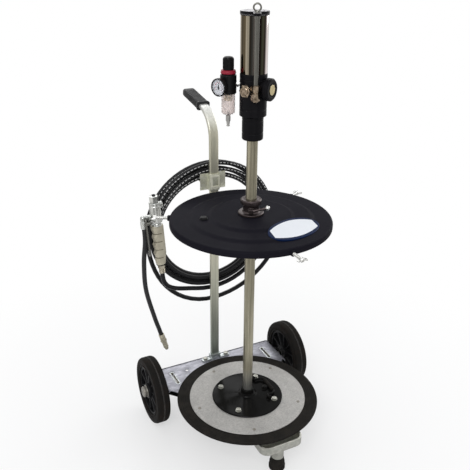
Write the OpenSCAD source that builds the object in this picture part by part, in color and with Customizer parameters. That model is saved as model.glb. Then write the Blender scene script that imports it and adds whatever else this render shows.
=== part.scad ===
// Mobile grease unit: an air-driven grease pump with its drum lid and follower plate,
// standing on a three-point trolley that also carries the coiled hose and the grease gun.
// Lengths are millimetres, Z is up, Y points to the back and the unit stands on Z = 0.

/* [Wheels and axle] */
// Diameter of the wheels
wheel_d = 195; // [160:1:220]
// Width of the tyres
wheel_w = 38; // [30:1:48]
// Diameter of the rim that the tyre sits on
rim_d = 142; // [110:1:150]
// Diameter of the wheel hub
hub_d = 44; // [34:1:52]
// Spokes of each wheel
spokes = 10; // [6:1:14]
// Space between each wheel hub and the brace beside it
wheel_gap = 4.7; // [2:0.1:20]
// Diameter of the axle
axle_d = 12; // [10:0.5:16]
// Distance of the axle behind the pump
axle_back = 163; // [150:1:180]
// Diameter of the axle caps
cap_d = 36; // [28:1:42]
// Length of the axle caps
cap_len = 14; // [10:1:20]

/* [Trolley base] */
// Height of the flat bars of the fork
rail_h = 22; // [18:1:30]
// Thickness of the flat bars
rail_t = 5; // [4:0.5:8]
// Width over the fork
fork_w = 124; // [100:2:150]
// Distance of the fork's front behind which the foot stands, in front of the pump
fork_reach = 212; // [206:1:240]
// Outer radius of the fork's corners
fork_r = 24; // [16:1:30]
// Thickness of the deck plate
deck_t = 2; // [1.5:0.5:4]
// Width of the deck plate over its rounded ends
deck_w = 394; // [380:2:404]
// Distance of the deck's rear edge behind the pump
deck_back = 233; // [233:1:245]
// Length of the slots in the deck
slot_len = 58; // [40:1:64]
// Width of the slots in the deck
slot_w = 8; // [6:0.5:10]
// Diameter of the metal sleeve of the foot
sleeve_d = 34; // [28:1:40]
// Distance of the foot in front of the pump
foot_front = 178; // [165:1:182]
// Diameter of the rubber foot at the floor
foot_d = 44; // [38:1:50]
// Height of the rubber foot
foot_h = 40; // [30:1:50]

/* [Upright and handle] */
// Width of the upright
up_w = 26; // [22:1:32]
// Depth of the upright
up_d = 12; // [10:1:14]
// Wall of the upright
up_wall = 1.5; // [1:0.5:2.5]
// Distance of the upright behind the pump
up_back = 222; // [219:1:223]
// Height where the upright starts to bend
bend_z = 808; // [760:2:860]
// Radius of the bend
bend_r = 80; // [60:2:110]
// Angle of the bend
bend_angle = 80; // [70:1:90]
// Length of the straight end that carries the grip
grip_len = 104; // [90:2:140]
// Width of the grip
grip_w = 35; // [32:1:42]
// Thickness of the grip
grip_t = 21; // [18:1:26]

/* [Hose bracket] */
// Width of the hose bracket
bracket_w = 76; // [64:2:90]
// Height of the hose bracket
bracket_h = 48; // [40:2:60]
// Height of its lower edge
bracket_z = 666; // [640:2:690]
// Thickness of its sheet
bracket_t = 2.5; // [2:0.5:4]

/* [Pump] */
// Outside diameter of the suction tube
tube_d = 27; // [24:0.5:29]
// Wall of the suction tube
tube_wall = 2; // [1.5:0.5:3]
// Length of the suction tube below the pump
tube_len = 760; // [720:5:800]
// Diameter of the neck
neck_d = 51; // [46:1:56]
// Height of the neck
neck_h = 55; // [48:1:62]
// Diameter of the valve body
body_d = 64; // [60:1:66]
// Height of the valve body
body_h = 101; // [94:1:110]
// Outside diameter of the air cylinder
cyl_d = 63; // [58:1:64]
// Wall of the air cylinder
cyl_wall = 3; // [2:0.5:4]
// Stroke of the air piston
stroke = 100; // [80:1:120]
// Diameter of the piston rod
rod_d = 12; // [10:0.5:14]
// Turn of the pump on its own axis
pump_turn = -28; // [-60:1:60]
// Diameter of the air transfer tube
transfer_d = 11; // [8:0.5:12]
// Distance of the transfer tube from the pump's axis
transfer_off = 43.5; // [43.5:0.5:48]
// Outside diameter of the lifting eye
eye_d = 20; // [18:1:26]

/* [Filter regulator] */
// Diameter of the regulator body
reg_d = 38; // [34:1:40]
// Height of the regulator body
reg_h = 46; // [40:1:52]
// Distance of its axis from the pump's axis
reg_off = 58; // [56:1:62]
// Height of its air passage above the top of the neck
reg_up = 76; // [68:1:80]
// Diameter of the knob
knob_d = 26; // [22:1:30]
// Height of the knob
knob_h = 29; // [24:1:34]
// Diameter of the bowl
bowl_d = 32; // [28:1:34]
// Height of the bowl
bowl_h = 48; // [40:1:60]
// Diameter of the gauge
gauge_d = 41; // [36:1:44]
// Depth of the gauge
gauge_t = 15; // [14:1:20]
// Turn of the gauge away from the front
gauge_turn = -37; // [-50:1:-30]

/* [Lid] */
// Diameter of the drum lid
lid_d = 410; // [390:2:414]
// Height of the lid's rim
lid_rim = 16; // [12:1:24]
// Height of the lid above the deck
lid_up = 559; // [520:1:600]
// Thickness of the lid's sheet
lid_t = 1.5; // [1:0.25:2.5]
// Radius of the lid's rounded edge
lid_r = 7; // [4:1:9]
// Diameter of the collar's flange
flange_d = 65; // [60:1:80]
// Diameter of the collar's upper ring
ring_d = 53; // [48:1:58]
// Diameter of the screws that hold the lid on its drum
wing_d = 8; // [6:1:10]

/* [Follower plate] */
// Diameter of the rubber lip
lip_d = 399; // [380:1:410]
// Thickness of the rubber lip
lip_t = 5; // [3:0.5:7]
// Diameter of the steel disc
disc_d = 328; // [300:2:340]
// Thickness of the steel disc
disc_t = 2.5; // [2:0.5:4]
// Diameter of the hub plate
hub_plate_d = 199; // [180:1:210]
// Height of the hub
hub_h = 26; // [20:1:32]
// Length of the bail handle
bail_len = 86; // [76:1:88]

/* [Hose and gun] */
// Diameter of the hose
hose_d = 13; // [11:0.5:13]
// Loops of the coil
loops = 5; // [3:1:6]
// Radius of the innermost loop
coil_r = 154; // [150:1:160]
// How much wider each next loop lies
loop_step = 17.5; // [14:0.5:20]
// How far the last loop hangs below the others
coil_sag = 48; // [20:1:60]
// Width of the gun's handle
gun_w = 34; // [30:1:38]
// Depth of the gun's handle
gun_d = 26; // [22:1:28]
// Length of the gun's handle
gun_len = 122; // [100:1:140]

/* [Hidden] */
$fn = 64;
over = 1;           // how far every cut runs past the solid it cuts
fit = 0.05;         // gap of a turned part in its bore
gap = 0.3;          // gap between pieces that only lie near each other

// Heights of the trolley
axle_z = wheel_d / 2;
rail_cover = 2.5;   // steel left above the axle's hole
rail_top = axle_z + axle_d / 2 + rail_cover;
rail_z = rail_top - rail_h;
deck_z = rail_top + deck_t;
// Heights of the pump
tube_z = deck_z + gap;
neck_z = tube_z + tube_len;
body_z = neck_z + neck_h;
cyl_z = body_z + body_h;
piston_t = 16;
piston_rest = 5;    // space that is left over and under the piston
cyl_h = stroke + piston_t + 2 * piston_rest;
cyl_top = cyl_z + cyl_h;
cap_h = 8;
gasket_t = 1.5;
cap_z = cyl_top + gasket_t;
// Heights of the lid and the follower
lid_z = deck_z + lid_up;
lip_z = deck_z + gap;
disc_z = lip_z + lip_t;
hub_z = disc_z + disc_t;
// The unit stands in the middle of its own length
wing_out = 46;      // reach of a wing screw past the rim of the lid
grip_cap = 4;       // closed end of the grip
front_y = lid_d / 2 + wing_out;
bend_end_y = up_back + bend_r - bend_r * cos(bend_angle);
back_y = bend_end_y + (grip_len + grip_cap) * sin(bend_angle) + grip_t / 2 * cos(bend_angle);
mid_y = (back_y - front_y) / 2;

// Puts a piece of the trolley in the unit's frame
module at_unit() {
    translate([0, -mid_y, 0]) children();
}

// Puts a piece of the pump on the pump's axis, turned with the pump
module at_pump() {
    translate([0, -mid_y, 0]) rotate([0, 0, pump_turn]) children();
}

// Places a child on the pump's side at an angle, its own Z pointing outwards
module radial(angle, z) {
    translate([0, 0, z]) rotate([0, 0, angle]) rotate([90, 0, 0]) children();
}

// A hexagon prism measured across its flats
module hex(across, height) {
    cylinder(d = across / cos(30), h = height, $fn = 6);
}

// Flat outline with four round corners, centred
module round_rect(w, h, r) {
    square([w - 2 * r, h], center = true);
    square([w, h - 2 * r], center = true);
    for (x = [-1, 1], y = [-1, 1])
        translate([x * (w / 2 - r), y * (h / 2 - r)]) circle(r);
}

// Flat outline of a slot along Y, centred
module slot_shape(len, w) {
    square([w, len - w], center = true);
    for (y = [-1, 1])
        translate([0, y * (len - w) / 2]) circle(d = w);
}

// Wheels

rim_wall = 7;
web_t = 6;
spoke_t = 5;
tyre_r = 9;         // rounding of the tyre's shoulders
bead = 4;           // width of the tyre's raised bead
bead_h = 1.5;

module rim() {
    rotate([0, 90, 0]) difference() {
        union() {
            difference() {
                cylinder(d = rim_d, h = wheel_w - 2 * bead, center = true);
                cylinder(d = rim_d - 2 * rim_wall, h = wheel_w + over, center = true);
            }
            cylinder(d = rim_d - rim_wall, h = web_t, center = true);
            cylinder(d = hub_d, h = wheel_w, center = true);
            for (i = [0 : spokes - 1])
                rotate([0, 0, i * 360 / spokes])
                    translate([(hub_d - spoke_t) / 2, -spoke_t / 2, 3 * bead / 2 - wheel_w / 2])
                        cube([(rim_d - hub_d) / 2, spoke_t, wheel_w - 3 * bead]);
        }
        cylinder(r = axle_d / 2 + fit, h = wheel_w + over, center = true);
    }
}

module tyre() {
    half = wheel_w / 2;
    r = wheel_d / 2;
    rotate([0, 90, 0]) difference() {
        rotate_extrude($fn = 96) difference() {
            union() {
                translate([rim_d / 2, -half]) square([r - tyre_r - rim_d / 2, wheel_w]);
                translate([rim_d / 2, tyre_r - half]) square([r - rim_d / 2, wheel_w - 2 * tyre_r]);
                for (s = [-1, 1])
                    translate([r - tyre_r, s * (half - tyre_r)]) circle(tyre_r);
            }
            for (s = [-1, 1])
                translate([rim_d / 2 + bead, s * half - bead_h])
                    square([bead, 2 * bead_h]);
        }
        cylinder(d = rim_d, h = wheel_w + over, center = true);
    }
}

brace_x = deck_w / 2 + gap + rail_t;
track = 2 * (brace_x + wheel_gap) + wheel_w;

module at_wheel(side) {
    translate([side * track / 2, axle_back, axle_z]) children();
}

module wheel_rim_left() { color("#1d1d1f") at_unit() at_wheel(-1) rim(); }
module wheel_rim_right() { color("#1d1d1f") at_unit() at_wheel(1) rim(); }
module tyre_left() { color("#2b2a29") at_unit() at_wheel(-1) tyre(); }
module tyre_right() { color("#2b2a29") at_unit() at_wheel(1) tyre(); }

washer_t = 2;
axle_half = track / 2 + wheel_w / 2 + washer_t + cap_len / 2;

module axle() {
    color("#b9b7b0") at_unit() translate([0, axle_back, axle_z]) rotate([0, 90, 0])
        cylinder(d = axle_d, h = 2 * axle_half, center = true);
}

// Round caps with a washer face that keep the wheels on the axle
module axle_caps() {
    color("#c9c2b0") at_unit() for (s = [-1, 1])
        translate([s * (track / 2 + wheel_w / 2 + gap), axle_back, axle_z])
            rotate([0, s * 90, 0]) difference() {
                union() {
                    cylinder(d = cap_d, h = washer_t);
                    cylinder(d = cap_d - 2 * washer_t, h = cap_len - washer_t);
                    cylinder(d = cap_d - 4 * washer_t, h = cap_len);
                }
                translate([0, 0, -over])
                    cylinder(r = axle_d / 2 + fit, h = over - gap + washer_t + cap_len / 2);
            }
}

// Trolley base

floor_t = 3;
stop_t = 4;
stop_low_share = 0.9;
arm_in = fork_w / 2 - rail_t;
arm_back = axle_back + 2 * axle_d;
sleeve_h = rail_z - foot_h + floor_t;
stud_d = 16;

// Flat outline of the fork: two arms joined by a front bar with round corners
module fork_outline(inset) {
    w = fork_w - 2 * inset;
    r = fork_r - inset;
    front = -fork_reach + inset;
    translate([-w / 2, front + r]) square([w, arm_back - front - r]);
    translate([-w / 2 + r, front]) square([w - 2 * r, r + over]);
    for (s = [-1, 1])
        translate([s * (w / 2 - r), front + r]) circle(r);
}

module front_fork() {
    stop_r = lip_d / 2 - rail_t;
    color("#b4b2a8") at_unit() difference() {
        union() {
            translate([0, 0, rail_z]) linear_extrude(rail_h) difference() {
                fork_outline(0);
                fork_outline(rail_t);
                translate([-arm_in, 0]) square([2 * arm_in, 2 * arm_back]);
            }
            translate([0, 0, rail_z]) linear_extrude(floor_t) intersection() {
                fork_outline(rail_t / 2);
                translate([-fork_w / 2, -fork_reach])
                    square([fork_w, 2 * (fork_reach - foot_front) + sleeve_d]);
            }
            translate([0, 0, rail_z + floor_t / 2])
                linear_extrude(rail_h * stop_low_share - floor_t / 2) intersection() {
                    difference() {
                        circle(stop_r, $fn = 128);
                        circle(stop_r - stop_t, $fn = 128);
                    }
                    translate([-arm_in - rail_t / 2, -fork_reach]) square([fork_w - rail_t, foot_front]);
                }
            translate([0, -foot_front, foot_h]) cylinder(d = sleeve_d, h = sleeve_h);
        }
        translate([0, axle_back, axle_z]) rotate([0, 90, 0])
            cylinder(r = axle_d / 2 + fit, h = fork_w + over, center = true);
        translate([0, -foot_front, foot_h - over])
            cylinder(r = stud_d / 2 + fit, h = sleeve_h / 2 + over);
        brace_bolt_holes();
    }
}

brace_foot_y = 0;
brace_bolt_y = brace_foot_y - rail_h / 2;

module brace_bolt_holes() {
    translate([0, brace_bolt_y, rail_z + rail_h / 2]) rotate([0, 90, 0])
        cylinder(d = bolt_d + 2 * fit, h = fork_w + 4 * rail_t, center = true);
}

// Black flat bars that run from beside the wheels to the arms of the fork

module brace_bar(room) {
    run_x = brace_x - fork_w / 2 - rail_t;
    run_y = axle_back - rail_h / 2 - brace_foot_y;
    translate([fork_w / 2 + rail_t + fit, brace_foot_y, rail_z]) rotate([0, 0, atan2(run_y, run_x)])
        translate([0, -room, 0]) cube([norm([run_x, run_y]), rail_t + 2 * room, rail_h]);
}

module brace(side) {
    mirror([side < 0 ? 1 : 0, 0, 0]) difference() {
        union() {
            brace_bar(0);
            translate([fork_w / 2 + fit, brace_foot_y - rail_h, rail_z])
                cube([rail_t, rail_h + rail_t, rail_h]);
            translate([brace_x - rail_t, axle_back - rail_h / 2 - rail_t, rail_z])
                cube([rail_t, rail_h + 2 * rail_t, rail_h]);
        }
        translate([brace_x, axle_back, axle_z]) rotate([0, 90, 0])
            cylinder(r = axle_d / 2 + fit, h = 4 * rail_t, center = true);
        brace_bolt_holes();
    }
}

module side_braces() {
    color("#141414") at_unit() {
        brace(-1);
        brace(1);
    }
}

// Deck plate with slots, pressed rings and rounded ends
end_r = 12;
deck_front = 42;    // reach of the deck in front of the pump's axis
slot_x_share = 0.39;
slot_mid = axle_back + 8;
hole_x_share = 0.27;
hole_y = axle_back + 30;
hole_d = 9;
emboss_r = 10;
emboss_h = 1.2;

module deck_outline() {
    half = deck_w / 2 - end_r;
    inner = fork_w / 2 + 4 * rail_t;
    corner_y = axle_back - 2 * rail_h;
    polygon([[-half, deck_back], [half, deck_back], [half, corner_y], [inner, 0],
             [inner, -deck_front], [-inner, -deck_front], [-inner, 0], [-half, corner_y]]);
}

module deck_plate() {
    half = deck_w / 2 - end_r;
    corner_y = axle_back - 2 * rail_h;
    color("#a9a8b6") at_unit() difference() {
        union() {
            translate([0, 0, rail_top]) linear_extrude(deck_t) deck_outline();
            for (s = [-1, 1]) {
                translate([s * half, deck_back, deck_z - end_r]) rotate([90, 0, 0])
                    linear_extrude(deck_back - corner_y) intersection() {
                        difference() {
                            circle(end_r);
                            circle(end_r - deck_t);
                        }
                        translate([s > 0 ? 0 : -end_r, 0]) square(end_r);
                    }
                translate([s * slot_x_share * deck_w, slot_mid + slot_len / 2 - slot_w / 2, deck_z])
                    rotate_extrude() translate([emboss_r, 0]) circle(emboss_h, $fn = 32);
                translate([s * hole_x_share * deck_w, hole_y, deck_z])
                    rotate_extrude() translate([hole_d, 0]) circle(emboss_h, $fn = 32);
            }
            translate([-half, deck_back - deck_t, rail_z + rail_h / 4])
                cube([2 * half, deck_t, rail_top - rail_z - rail_h / 4 + deck_t / 2]);
        }
        for (s = [-1, 1]) {
            translate([s * slot_x_share * deck_w, slot_mid, rail_top - over])
                linear_extrude(deck_t + 2 * over) slot_shape(slot_len, slot_w);
            translate([s * hole_x_share * deck_w, hole_y, rail_top - over])
                cylinder(d = hole_d, h = deck_t + 2 * over);
            translate([s * clamp_bolt_x, up_back - clamp_bolt_y, rail_top - over])
                cylinder(d = bolt_d + 2 * fit, h = deck_t + 2 * over);
        }
        translate([0, up_back, rail_top - over]) linear_extrude(deck_t + 2 * over)
            round_rect(up_w + 2 * gap, up_d + 2 * gap, up_r + gap);
        translate([0, axle_back, axle_z]) rotate([0, 90, 0])
            cylinder(r = axle_d / 2 + gap, h = deck_w + over, center = true);
        brace_bar(gap);
        mirror([1, 0, 0]) brace_bar(gap);
    }
}

// Rubber foot with a stud in the sleeve
foot_taper = 4;
foot_round = 3;

module foot_rubber() {
    color("#1c1b1b") at_unit() translate([0, -foot_front, 0]) {
        rotate_extrude() polygon([[0, 0], [foot_d / 2 - foot_round, 0], [foot_d / 2, foot_round],
            [foot_d / 2 - foot_taper, foot_h - foot_round], [sleeve_d / 2, foot_h], [0, foot_h]]);
        cylinder(d = stud_d, h = foot_h + sleeve_h / 2 - gap);
    }
}

// Upright and handle

up_r = 4;
up_foot_z = rail_z + rail_h / 4;

module up_section(inset) {
    round_rect(up_w - 2 * inset, up_d - 2 * inset, up_r - inset);
}

module at_bend_end() {
    translate([0, up_back + bend_r, bend_z]) rotate([90 - bend_angle, 0, 0])
        translate([0, 0, bend_r]) children();
}

// Leg and bend, with the end drawn in a little to take the grip, in the frame of the bend
swage = 0.5;
module upright_bar(inset, extra) {
    leg = bend_z - up_foot_z + extra;
    translate([0, up_back + bend_r, bend_z]) rotate([90, 0, 90]) mirror([1, 0, 0]) {
        translate([bend_r, 0, 0]) rotate([90, 0, 0]) linear_extrude(leg)
            rotate([0, 0, 90]) up_section(inset);
        rotate_extrude(angle = bend_angle, $fn = 128) translate([bend_r, 0])
            rotate([0, 0, 90]) up_section(inset);
        rotate([0, 0, bend_angle]) translate([bend_r, -up_r, 0]) rotate([-90, 0, 0])
            linear_extrude(grip_len + up_r + extra) rotate([0, 0, 90]) up_section(inset + swage);
    }
}

module upright() {
    color("#a39e86") at_unit() difference() {
        upright_bar(0, 0);
        upright_bar(up_wall, over);
    }
}

grip_r = 6;
grip_skirt = 3;

// Moulded grip that closes the end of the upright, with a skirt round its mouth
module handle_grip() {
    color("#3a3a3c") at_unit() at_bend_end() rotate([-90, 0, 0]) difference() {
        union() {
            linear_extrude(grip_len + grip_cap) round_rect(grip_w, grip_t, grip_r);
            linear_extrude(grip_skirt)
                round_rect(grip_w + grip_skirt, grip_t + grip_skirt, grip_r + grip_skirt / 2);
        }
        translate([0, 0, -over]) linear_extrude(grip_len + over) up_section(swage - fit);
    }
}

// Collar with two ears that holds the upright on the deck
clamp_h = 14;
clamp_wall = 4;
ear_t = 5;
clamp_w = 92;
ear_w = 16;
clamp_bolt_x = 35;
clamp_bolt_y = 8;
bolt_d = 8;
bolt_head = 13;
bolt_head_h = 5.3;

module upright_clamp() {
    color("#b9bab2") at_unit() translate([0, up_back, deck_z]) difference() {
        union() {
            linear_extrude(clamp_h) round_rect(up_w + 2 * clamp_wall, up_d + 2 * clamp_wall, up_r);
            translate([0, -clamp_bolt_y, 0]) linear_extrude(ear_t) round_rect(clamp_w, ear_w, up_r);
        }
        translate([0, 0, -over]) linear_extrude(clamp_h + 2 * over)
            round_rect(up_w + 2 * fit, up_d + 2 * fit, up_r + fit);
        for (s = [-1, 1])
            translate([s * clamp_bolt_x, -clamp_bolt_y, -over])
                cylinder(d = bolt_d + 2 * fit, h = ear_t + 2 * over);
    }
}

// A bolt with its head on top and its nut under what it clamps
module bolt(grip) {
    hex(bolt_head, bolt_head_h);
    translate([0, 0, -grip - bolt_d]) cylinder(d = bolt_d, h = grip + bolt_d + bolt_head_h / 2);
    translate([0, 0, -grip - bolt_head_h]) hex(bolt_head, bolt_head_h);
}

module trolley_bolts() {
    color("#8d8d88") at_unit() {
        for (s = [-1, 1]) {
            translate([s * clamp_bolt_x, up_back - clamp_bolt_y, deck_z + ear_t]) bolt(ear_t + deck_t);
            translate([s * (fork_w / 2 + fit + rail_t), brace_bolt_y, rail_z + rail_h / 2])
                rotate([0, s * 90, 0]) bolt(2 * rail_t + fit);
        }
    }
}

// Hose bracket: a hat strap round the front of the upright and a curved saddle behind it
coil_x = 0;
coil_gap = 1.2;             // space between neighbouring hoses
pitch = hose_d + coil_gap;
saddle_angle = 14;
saddle_lip = 18;
saddle_share = 0.62;        // height of the saddle on the bracket
coil_front = up_back + up_d / 2 + bracket_t + hose_d / 2 + gap;
saddle_back = coil_front + pitch + hose_d / 2 + gap + bracket_t;
coil_z = bracket_z + bracket_h * saddle_share + hose_d / 2 + gap - coil_r;

// Ring slice along the top of the coil, between two radii
module top_arc(r_in, r_out) {
    intersection() {
        difference() {
            circle(r_out, $fn = 180);
            circle(r_in, $fn = 180);
        }
        translate([-r_out * sin(saddle_angle), 0]) square([2 * r_out * sin(saddle_angle), r_out]);
    }
}

module hose_bracket() {
    hat_w = up_w + 2 * (bracket_t + fit);
    hat_y = up_back - up_d / 2 - fit - bracket_t;
    rear_y = up_back + up_d / 2 + fit;
    saddle_r = coil_r - hose_d / 2 - gap;
    saddle_x = coil_x;
    color("#a8a897") at_unit() {
        translate([0, 0, bracket_z]) linear_extrude(bracket_h) {
            translate([-hat_w / 2, hat_y]) square([hat_w, bracket_t]);
            for (s = [-1, 1]) {
                translate([s * (hat_w - bracket_t) / 2 - bracket_t / 2, hat_y])
                    square([bracket_t, rear_y - hat_y + bracket_t]);
                translate([s > 0 ? hat_w / 2 - bracket_t : -bracket_w / 2, rear_y])
                    square([(bracket_w - hat_w) / 2 + bracket_t, bracket_t]);
            }
            translate([-bracket_w / 2, rear_y]) square([bracket_w, bracket_t]);
        }
        translate([saddle_x, saddle_back, coil_z]) rotate([90, 0, 0])
            linear_extrude(saddle_back - rear_y - bracket_t / 2)
                top_arc(saddle_r - bracket_t, saddle_r);
        translate([saddle_x, saddle_back, coil_z]) rotate([90, 0, 0])
            linear_extrude(bracket_t) top_arc(saddle_r - bracket_t, saddle_r + saddle_lip);
    }
}

// Pump

rod_gap = fit;
tube_grip = 20;             // how far the tube sits inside the neck
gallery_d = 20;
gallery_h = 20;
neck_r = 6;
body_edge = 3;
outlet_r = 7.5;
outlet_z = neck_z + tube_grip + gallery_h / 2 - 2 * fit;
port_z = neck_z + neck_h + reg_up;
boss_d = 40;
boss_off = body_d / 2 + 4;
inlet_angle = -31;
exhaust_angle = 60;
exhaust_z = body_z + 67;
plug_z = body_z + 65;
plug_d = 26;
fitting_z = body_z + 55;
pad_off = body_d / 2 + 2;
port_r = 5.5;
transfer_x = 5;
transfer_y = -sqrt(transfer_off * transfer_off - transfer_x * transfer_x);

module pump_neck() {
    color("#18181a") at_pump() difference() {
        union() {
            translate([0, 0, neck_z]) rotate_extrude() {
                translate([0, neck_r]) square([neck_d / 2, neck_h - neck_r]);
                square([neck_d / 2 - neck_r, neck_r + over]);
                translate([neck_d / 2 - neck_r, neck_r]) circle(neck_r);
            }
            radial(180, outlet_z) cylinder(r = outlet_r + neck_r, h = neck_d / 2 + body_edge);
        }
        translate([0, 0, neck_z - over])
            cylinder(r = tube_d / 2 + fit, h = tube_grip + over);
        translate([0, 0, neck_z + tube_grip - over / 2]) cylinder(d = gallery_d, h = gallery_h);
        translate([0, 0, neck_z]) cylinder(r = rod_d / 2 + rod_gap, h = neck_h + over);
        radial(180, outlet_z) translate([0, 0, gallery_d / 4])
            cylinder(r = outlet_r, h = neck_d);
    }
}

module valve_body() {
    color("#151517") at_pump() difference() {
        union() {
            translate([0, 0, body_z]) rotate_extrude() polygon([[0, 0], [neck_d / 2, 0],
                [body_d / 2, body_edge], [body_d / 2, body_h - body_edge],
                [cyl_d / 2, body_h], [0, body_h]]);
            radial(exhaust_angle, exhaust_z) cylinder(d = boss_d, h = boss_off);
            radial(inlet_angle, plug_z) cylinder(d = plug_d + body_edge, h = pad_off);
            translate([transfer_x, 0, fitting_z]) rotate([90, 0, 0]) cylinder(d = hex_a, h = pad_off);
        }
        translate([0, 0, body_z - over]) cylinder(r = rod_d / 2 + rod_gap, h = body_h + 2 * over);
        radial(-90, port_z) translate([0, 0, rod_d]) cylinder(r = port_r, h = body_d);
        radial(exhaust_angle, exhaust_z) translate([0, 0, rod_d]) cylinder(r = port_r, h = body_d);
    }
}

module motor_cylinder() {
    color("#d9d9dc") at_pump() translate([0, 0, cyl_z]) difference() {
        cylinder(d = cyl_d, h = cyl_h, $fn = 96);
        translate([0, 0, -over]) cylinder(d = cyl_d - 2 * cyl_wall, h = cyl_h + 2 * over, $fn = 96);
    }
}

module cap_gasket() {
    color("#0f0f10") at_pump() translate([0, 0, cyl_top]) difference() {
        cylinder(d = cyl_d + gasket_t, h = gasket_t, $fn = 96);
        translate([0, 0, -over]) cylinder(d = cyl_d - 2 * cyl_wall, h = gasket_t + 2 * over, $fn = 96);
    }
}

lug_d = 18;
eye_stud = 8;
cap_edge = 1.5;

module motor_cap() {
    color("#cfcfd2") at_pump() translate([0, 0, cap_z]) difference() {
        union() {
            rotate_extrude($fn = 96) polygon([[0, 0], [cyl_d / 2 + cap_edge, 0],
                [cyl_d / 2 + cap_edge, cap_h - cap_edge], [cyl_d / 2, cap_h], [0, cap_h]]);
            translate([transfer_x, transfer_y, 0]) cylinder(d = lug_d, h = cap_h - cap_edge);
            linear_extrude(cap_h - cap_edge) polygon([[transfer_x - lug_d / 2, transfer_y],
                [transfer_x + lug_d / 2, transfer_y], [transfer_x + lug_d / 2, 0],
                [transfer_x - lug_d / 2, 0]]);
        }
        translate([transfer_x, transfer_y, -over])
            cylinder(r = transfer_d / 2 + fit, h = over + cap_h / 2);
        translate([transfer_x, transfer_y, cap_h / 2])
            cylinder(r = eye_stud / 2 + fit, h = cap_h);
    }
}

eye_ring = 5;
eye_bore = 6;
eye_z = cap_z + cap_h - cap_edge;

module lifting_eye() {
    color("#c7c5bd") at_pump() translate([transfer_x, transfer_y, eye_z]) difference() {
        union() {
            translate([0, 0, cap_edge + fit - cap_h / 2]) cylinder(d = eye_stud, h = cap_h / 2 + eye_d / 2);
            cylinder(d = eye_stud + eye_ring, h = cap_edge);
            translate([0, 0, eye_d / 2 + cap_edge]) rotate([90, 0, 0])
                rotate_extrude() translate([(eye_d - eye_ring) / 2, 0]) circle(d = eye_ring, $fn = 32);
        }
        translate([0, 0, eye_d / 2 + cap_edge]) rotate([90, 0, 0])
            cylinder(r = eye_bore, h = eye_d, center = true);
    }
}

nut_d = 20;
hex_a = 18;
nut_h = 17;
transfer_z = fitting_z + hex_a / 2 + nut_h / 2;

module transfer_tube() {
    color("#d2d2d4") at_pump() translate([transfer_x, transfer_y, transfer_z])
        cylinder(d = transfer_d, h = cap_z + cap_h / 2 - fit - transfer_z);
}

// Nipple of the regulator, the plugged port and the elbow under the transfer tube
module air_fittings() {
    nipple_in = rod_d + fit;
    stub = -transfer_y - pad_off;
    color("#c2b79d") at_pump() {
        radial(-90, port_z) {
            translate([0, 0, nipple_in + port_r])
                cylinder(r = port_r - fit, h = reg_off - reg_d / 2 - nipple_in - fit);
            translate([0, 0, pad_off]) hex(2 * port_r + body_edge, reg_off - reg_d / 2 - pad_off - gap);
        }
        radial(inlet_angle, plug_z) translate([0, 0, pad_off]) {
            hex(plug_d, hex_a / 3);
            cylinder(d = plug_d - 2 * body_edge, h = hex_a / 2);
        }
        translate([transfer_x, transfer_y, fitting_z]) difference() {
            union() {
                translate([0, 0, -hex_a / 2]) hex(hex_a, hex_a);
                translate([0, 0, hex_a / 2]) cylinder(d = transfer_d + body_edge, h = nut_h / 4);
                translate([0, 0, hex_a / 2 + nut_h / 4]) hex(nut_d, nut_h - nut_h / 4);
                rotate([-90, 0, 0]) cylinder(d = hex_a - 2 * body_edge, h = stub);
                translate([0, 0, -hex_a / 2]) sphere(d = hex_a - 2 * body_edge);
            }
            translate([0, 0, hex_a / 2 + nut_h / 2 - fit])
                cylinder(r = transfer_d / 2 + fit, h = nut_h);
        }
    }
}

exhaust_d = 52;
exhaust_t = 14;
sinter_d = 24;

module exhaust_housing() {
    color("#171719") at_pump() radial(exhaust_angle, exhaust_z) translate([0, 0, boss_off])
        difference() {
            rotate_extrude() polygon([[0, 0], [exhaust_d / 2, 0],
                [exhaust_d / 2, exhaust_t - body_edge],
                [exhaust_d / 2 - body_edge, exhaust_t], [0, exhaust_t]]);
            translate([0, 0, exhaust_t - body_edge]) cylinder(r = sinter_d / 2 + fit, h = exhaust_t);
            translate([0, 0, -over]) cylinder(r = port_r, h = exhaust_t);
        }
}

module exhaust_disc() {
    color("#b79b6a") at_pump() radial(exhaust_angle, exhaust_z)
        translate([0, 0, boss_off + exhaust_t - body_edge])
            cylinder(d = sinter_d, h = body_edge + gap);
}

inlet_slots = 4;
inlet_slot_w = 10;
inlet_slot_h = 12;

module suction_tube() {
    color("#9d957b") at_pump() difference() {
        translate([0, 0, tube_z]) cylinder(d = tube_d, h = tube_len + tube_grip);
        translate([0, 0, tube_z - over])
            cylinder(d = tube_d - 2 * tube_wall, h = tube_len + tube_grip + 2 * over);
        for (i = [0 : inlet_slots - 1])
            translate([0, 0, tube_z + inlet_slot_h / 2]) rotate([0, 0, i * 360 / inlet_slots])
                translate([tube_d / 2, 0, 0])
                    cube([tube_d / 2, inlet_slot_w, inlet_slot_h], center = true);
    }
}

seat_h = 12;
seat_d = tube_d - 2 * tube_wall - 2 * fit;
seat_hole = 12;

// Ring in the foot of the tube that the plunger closes
module foot_valve() {
    color("#b3b1a9") at_pump() translate([0, 0, tube_z + inlet_slot_h + body_edge]) difference() {
        cylinder(d = seat_d, h = seat_h);
        translate([0, 0, -over]) cylinder(d = seat_hole, h = seat_h + 2 * over);
    }
}

seal_w = 3;
seal_in = 2;
plunger_h = 20;
plunger_z = tube_z + inlet_slot_h + body_edge + seat_h + gap;

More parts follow.
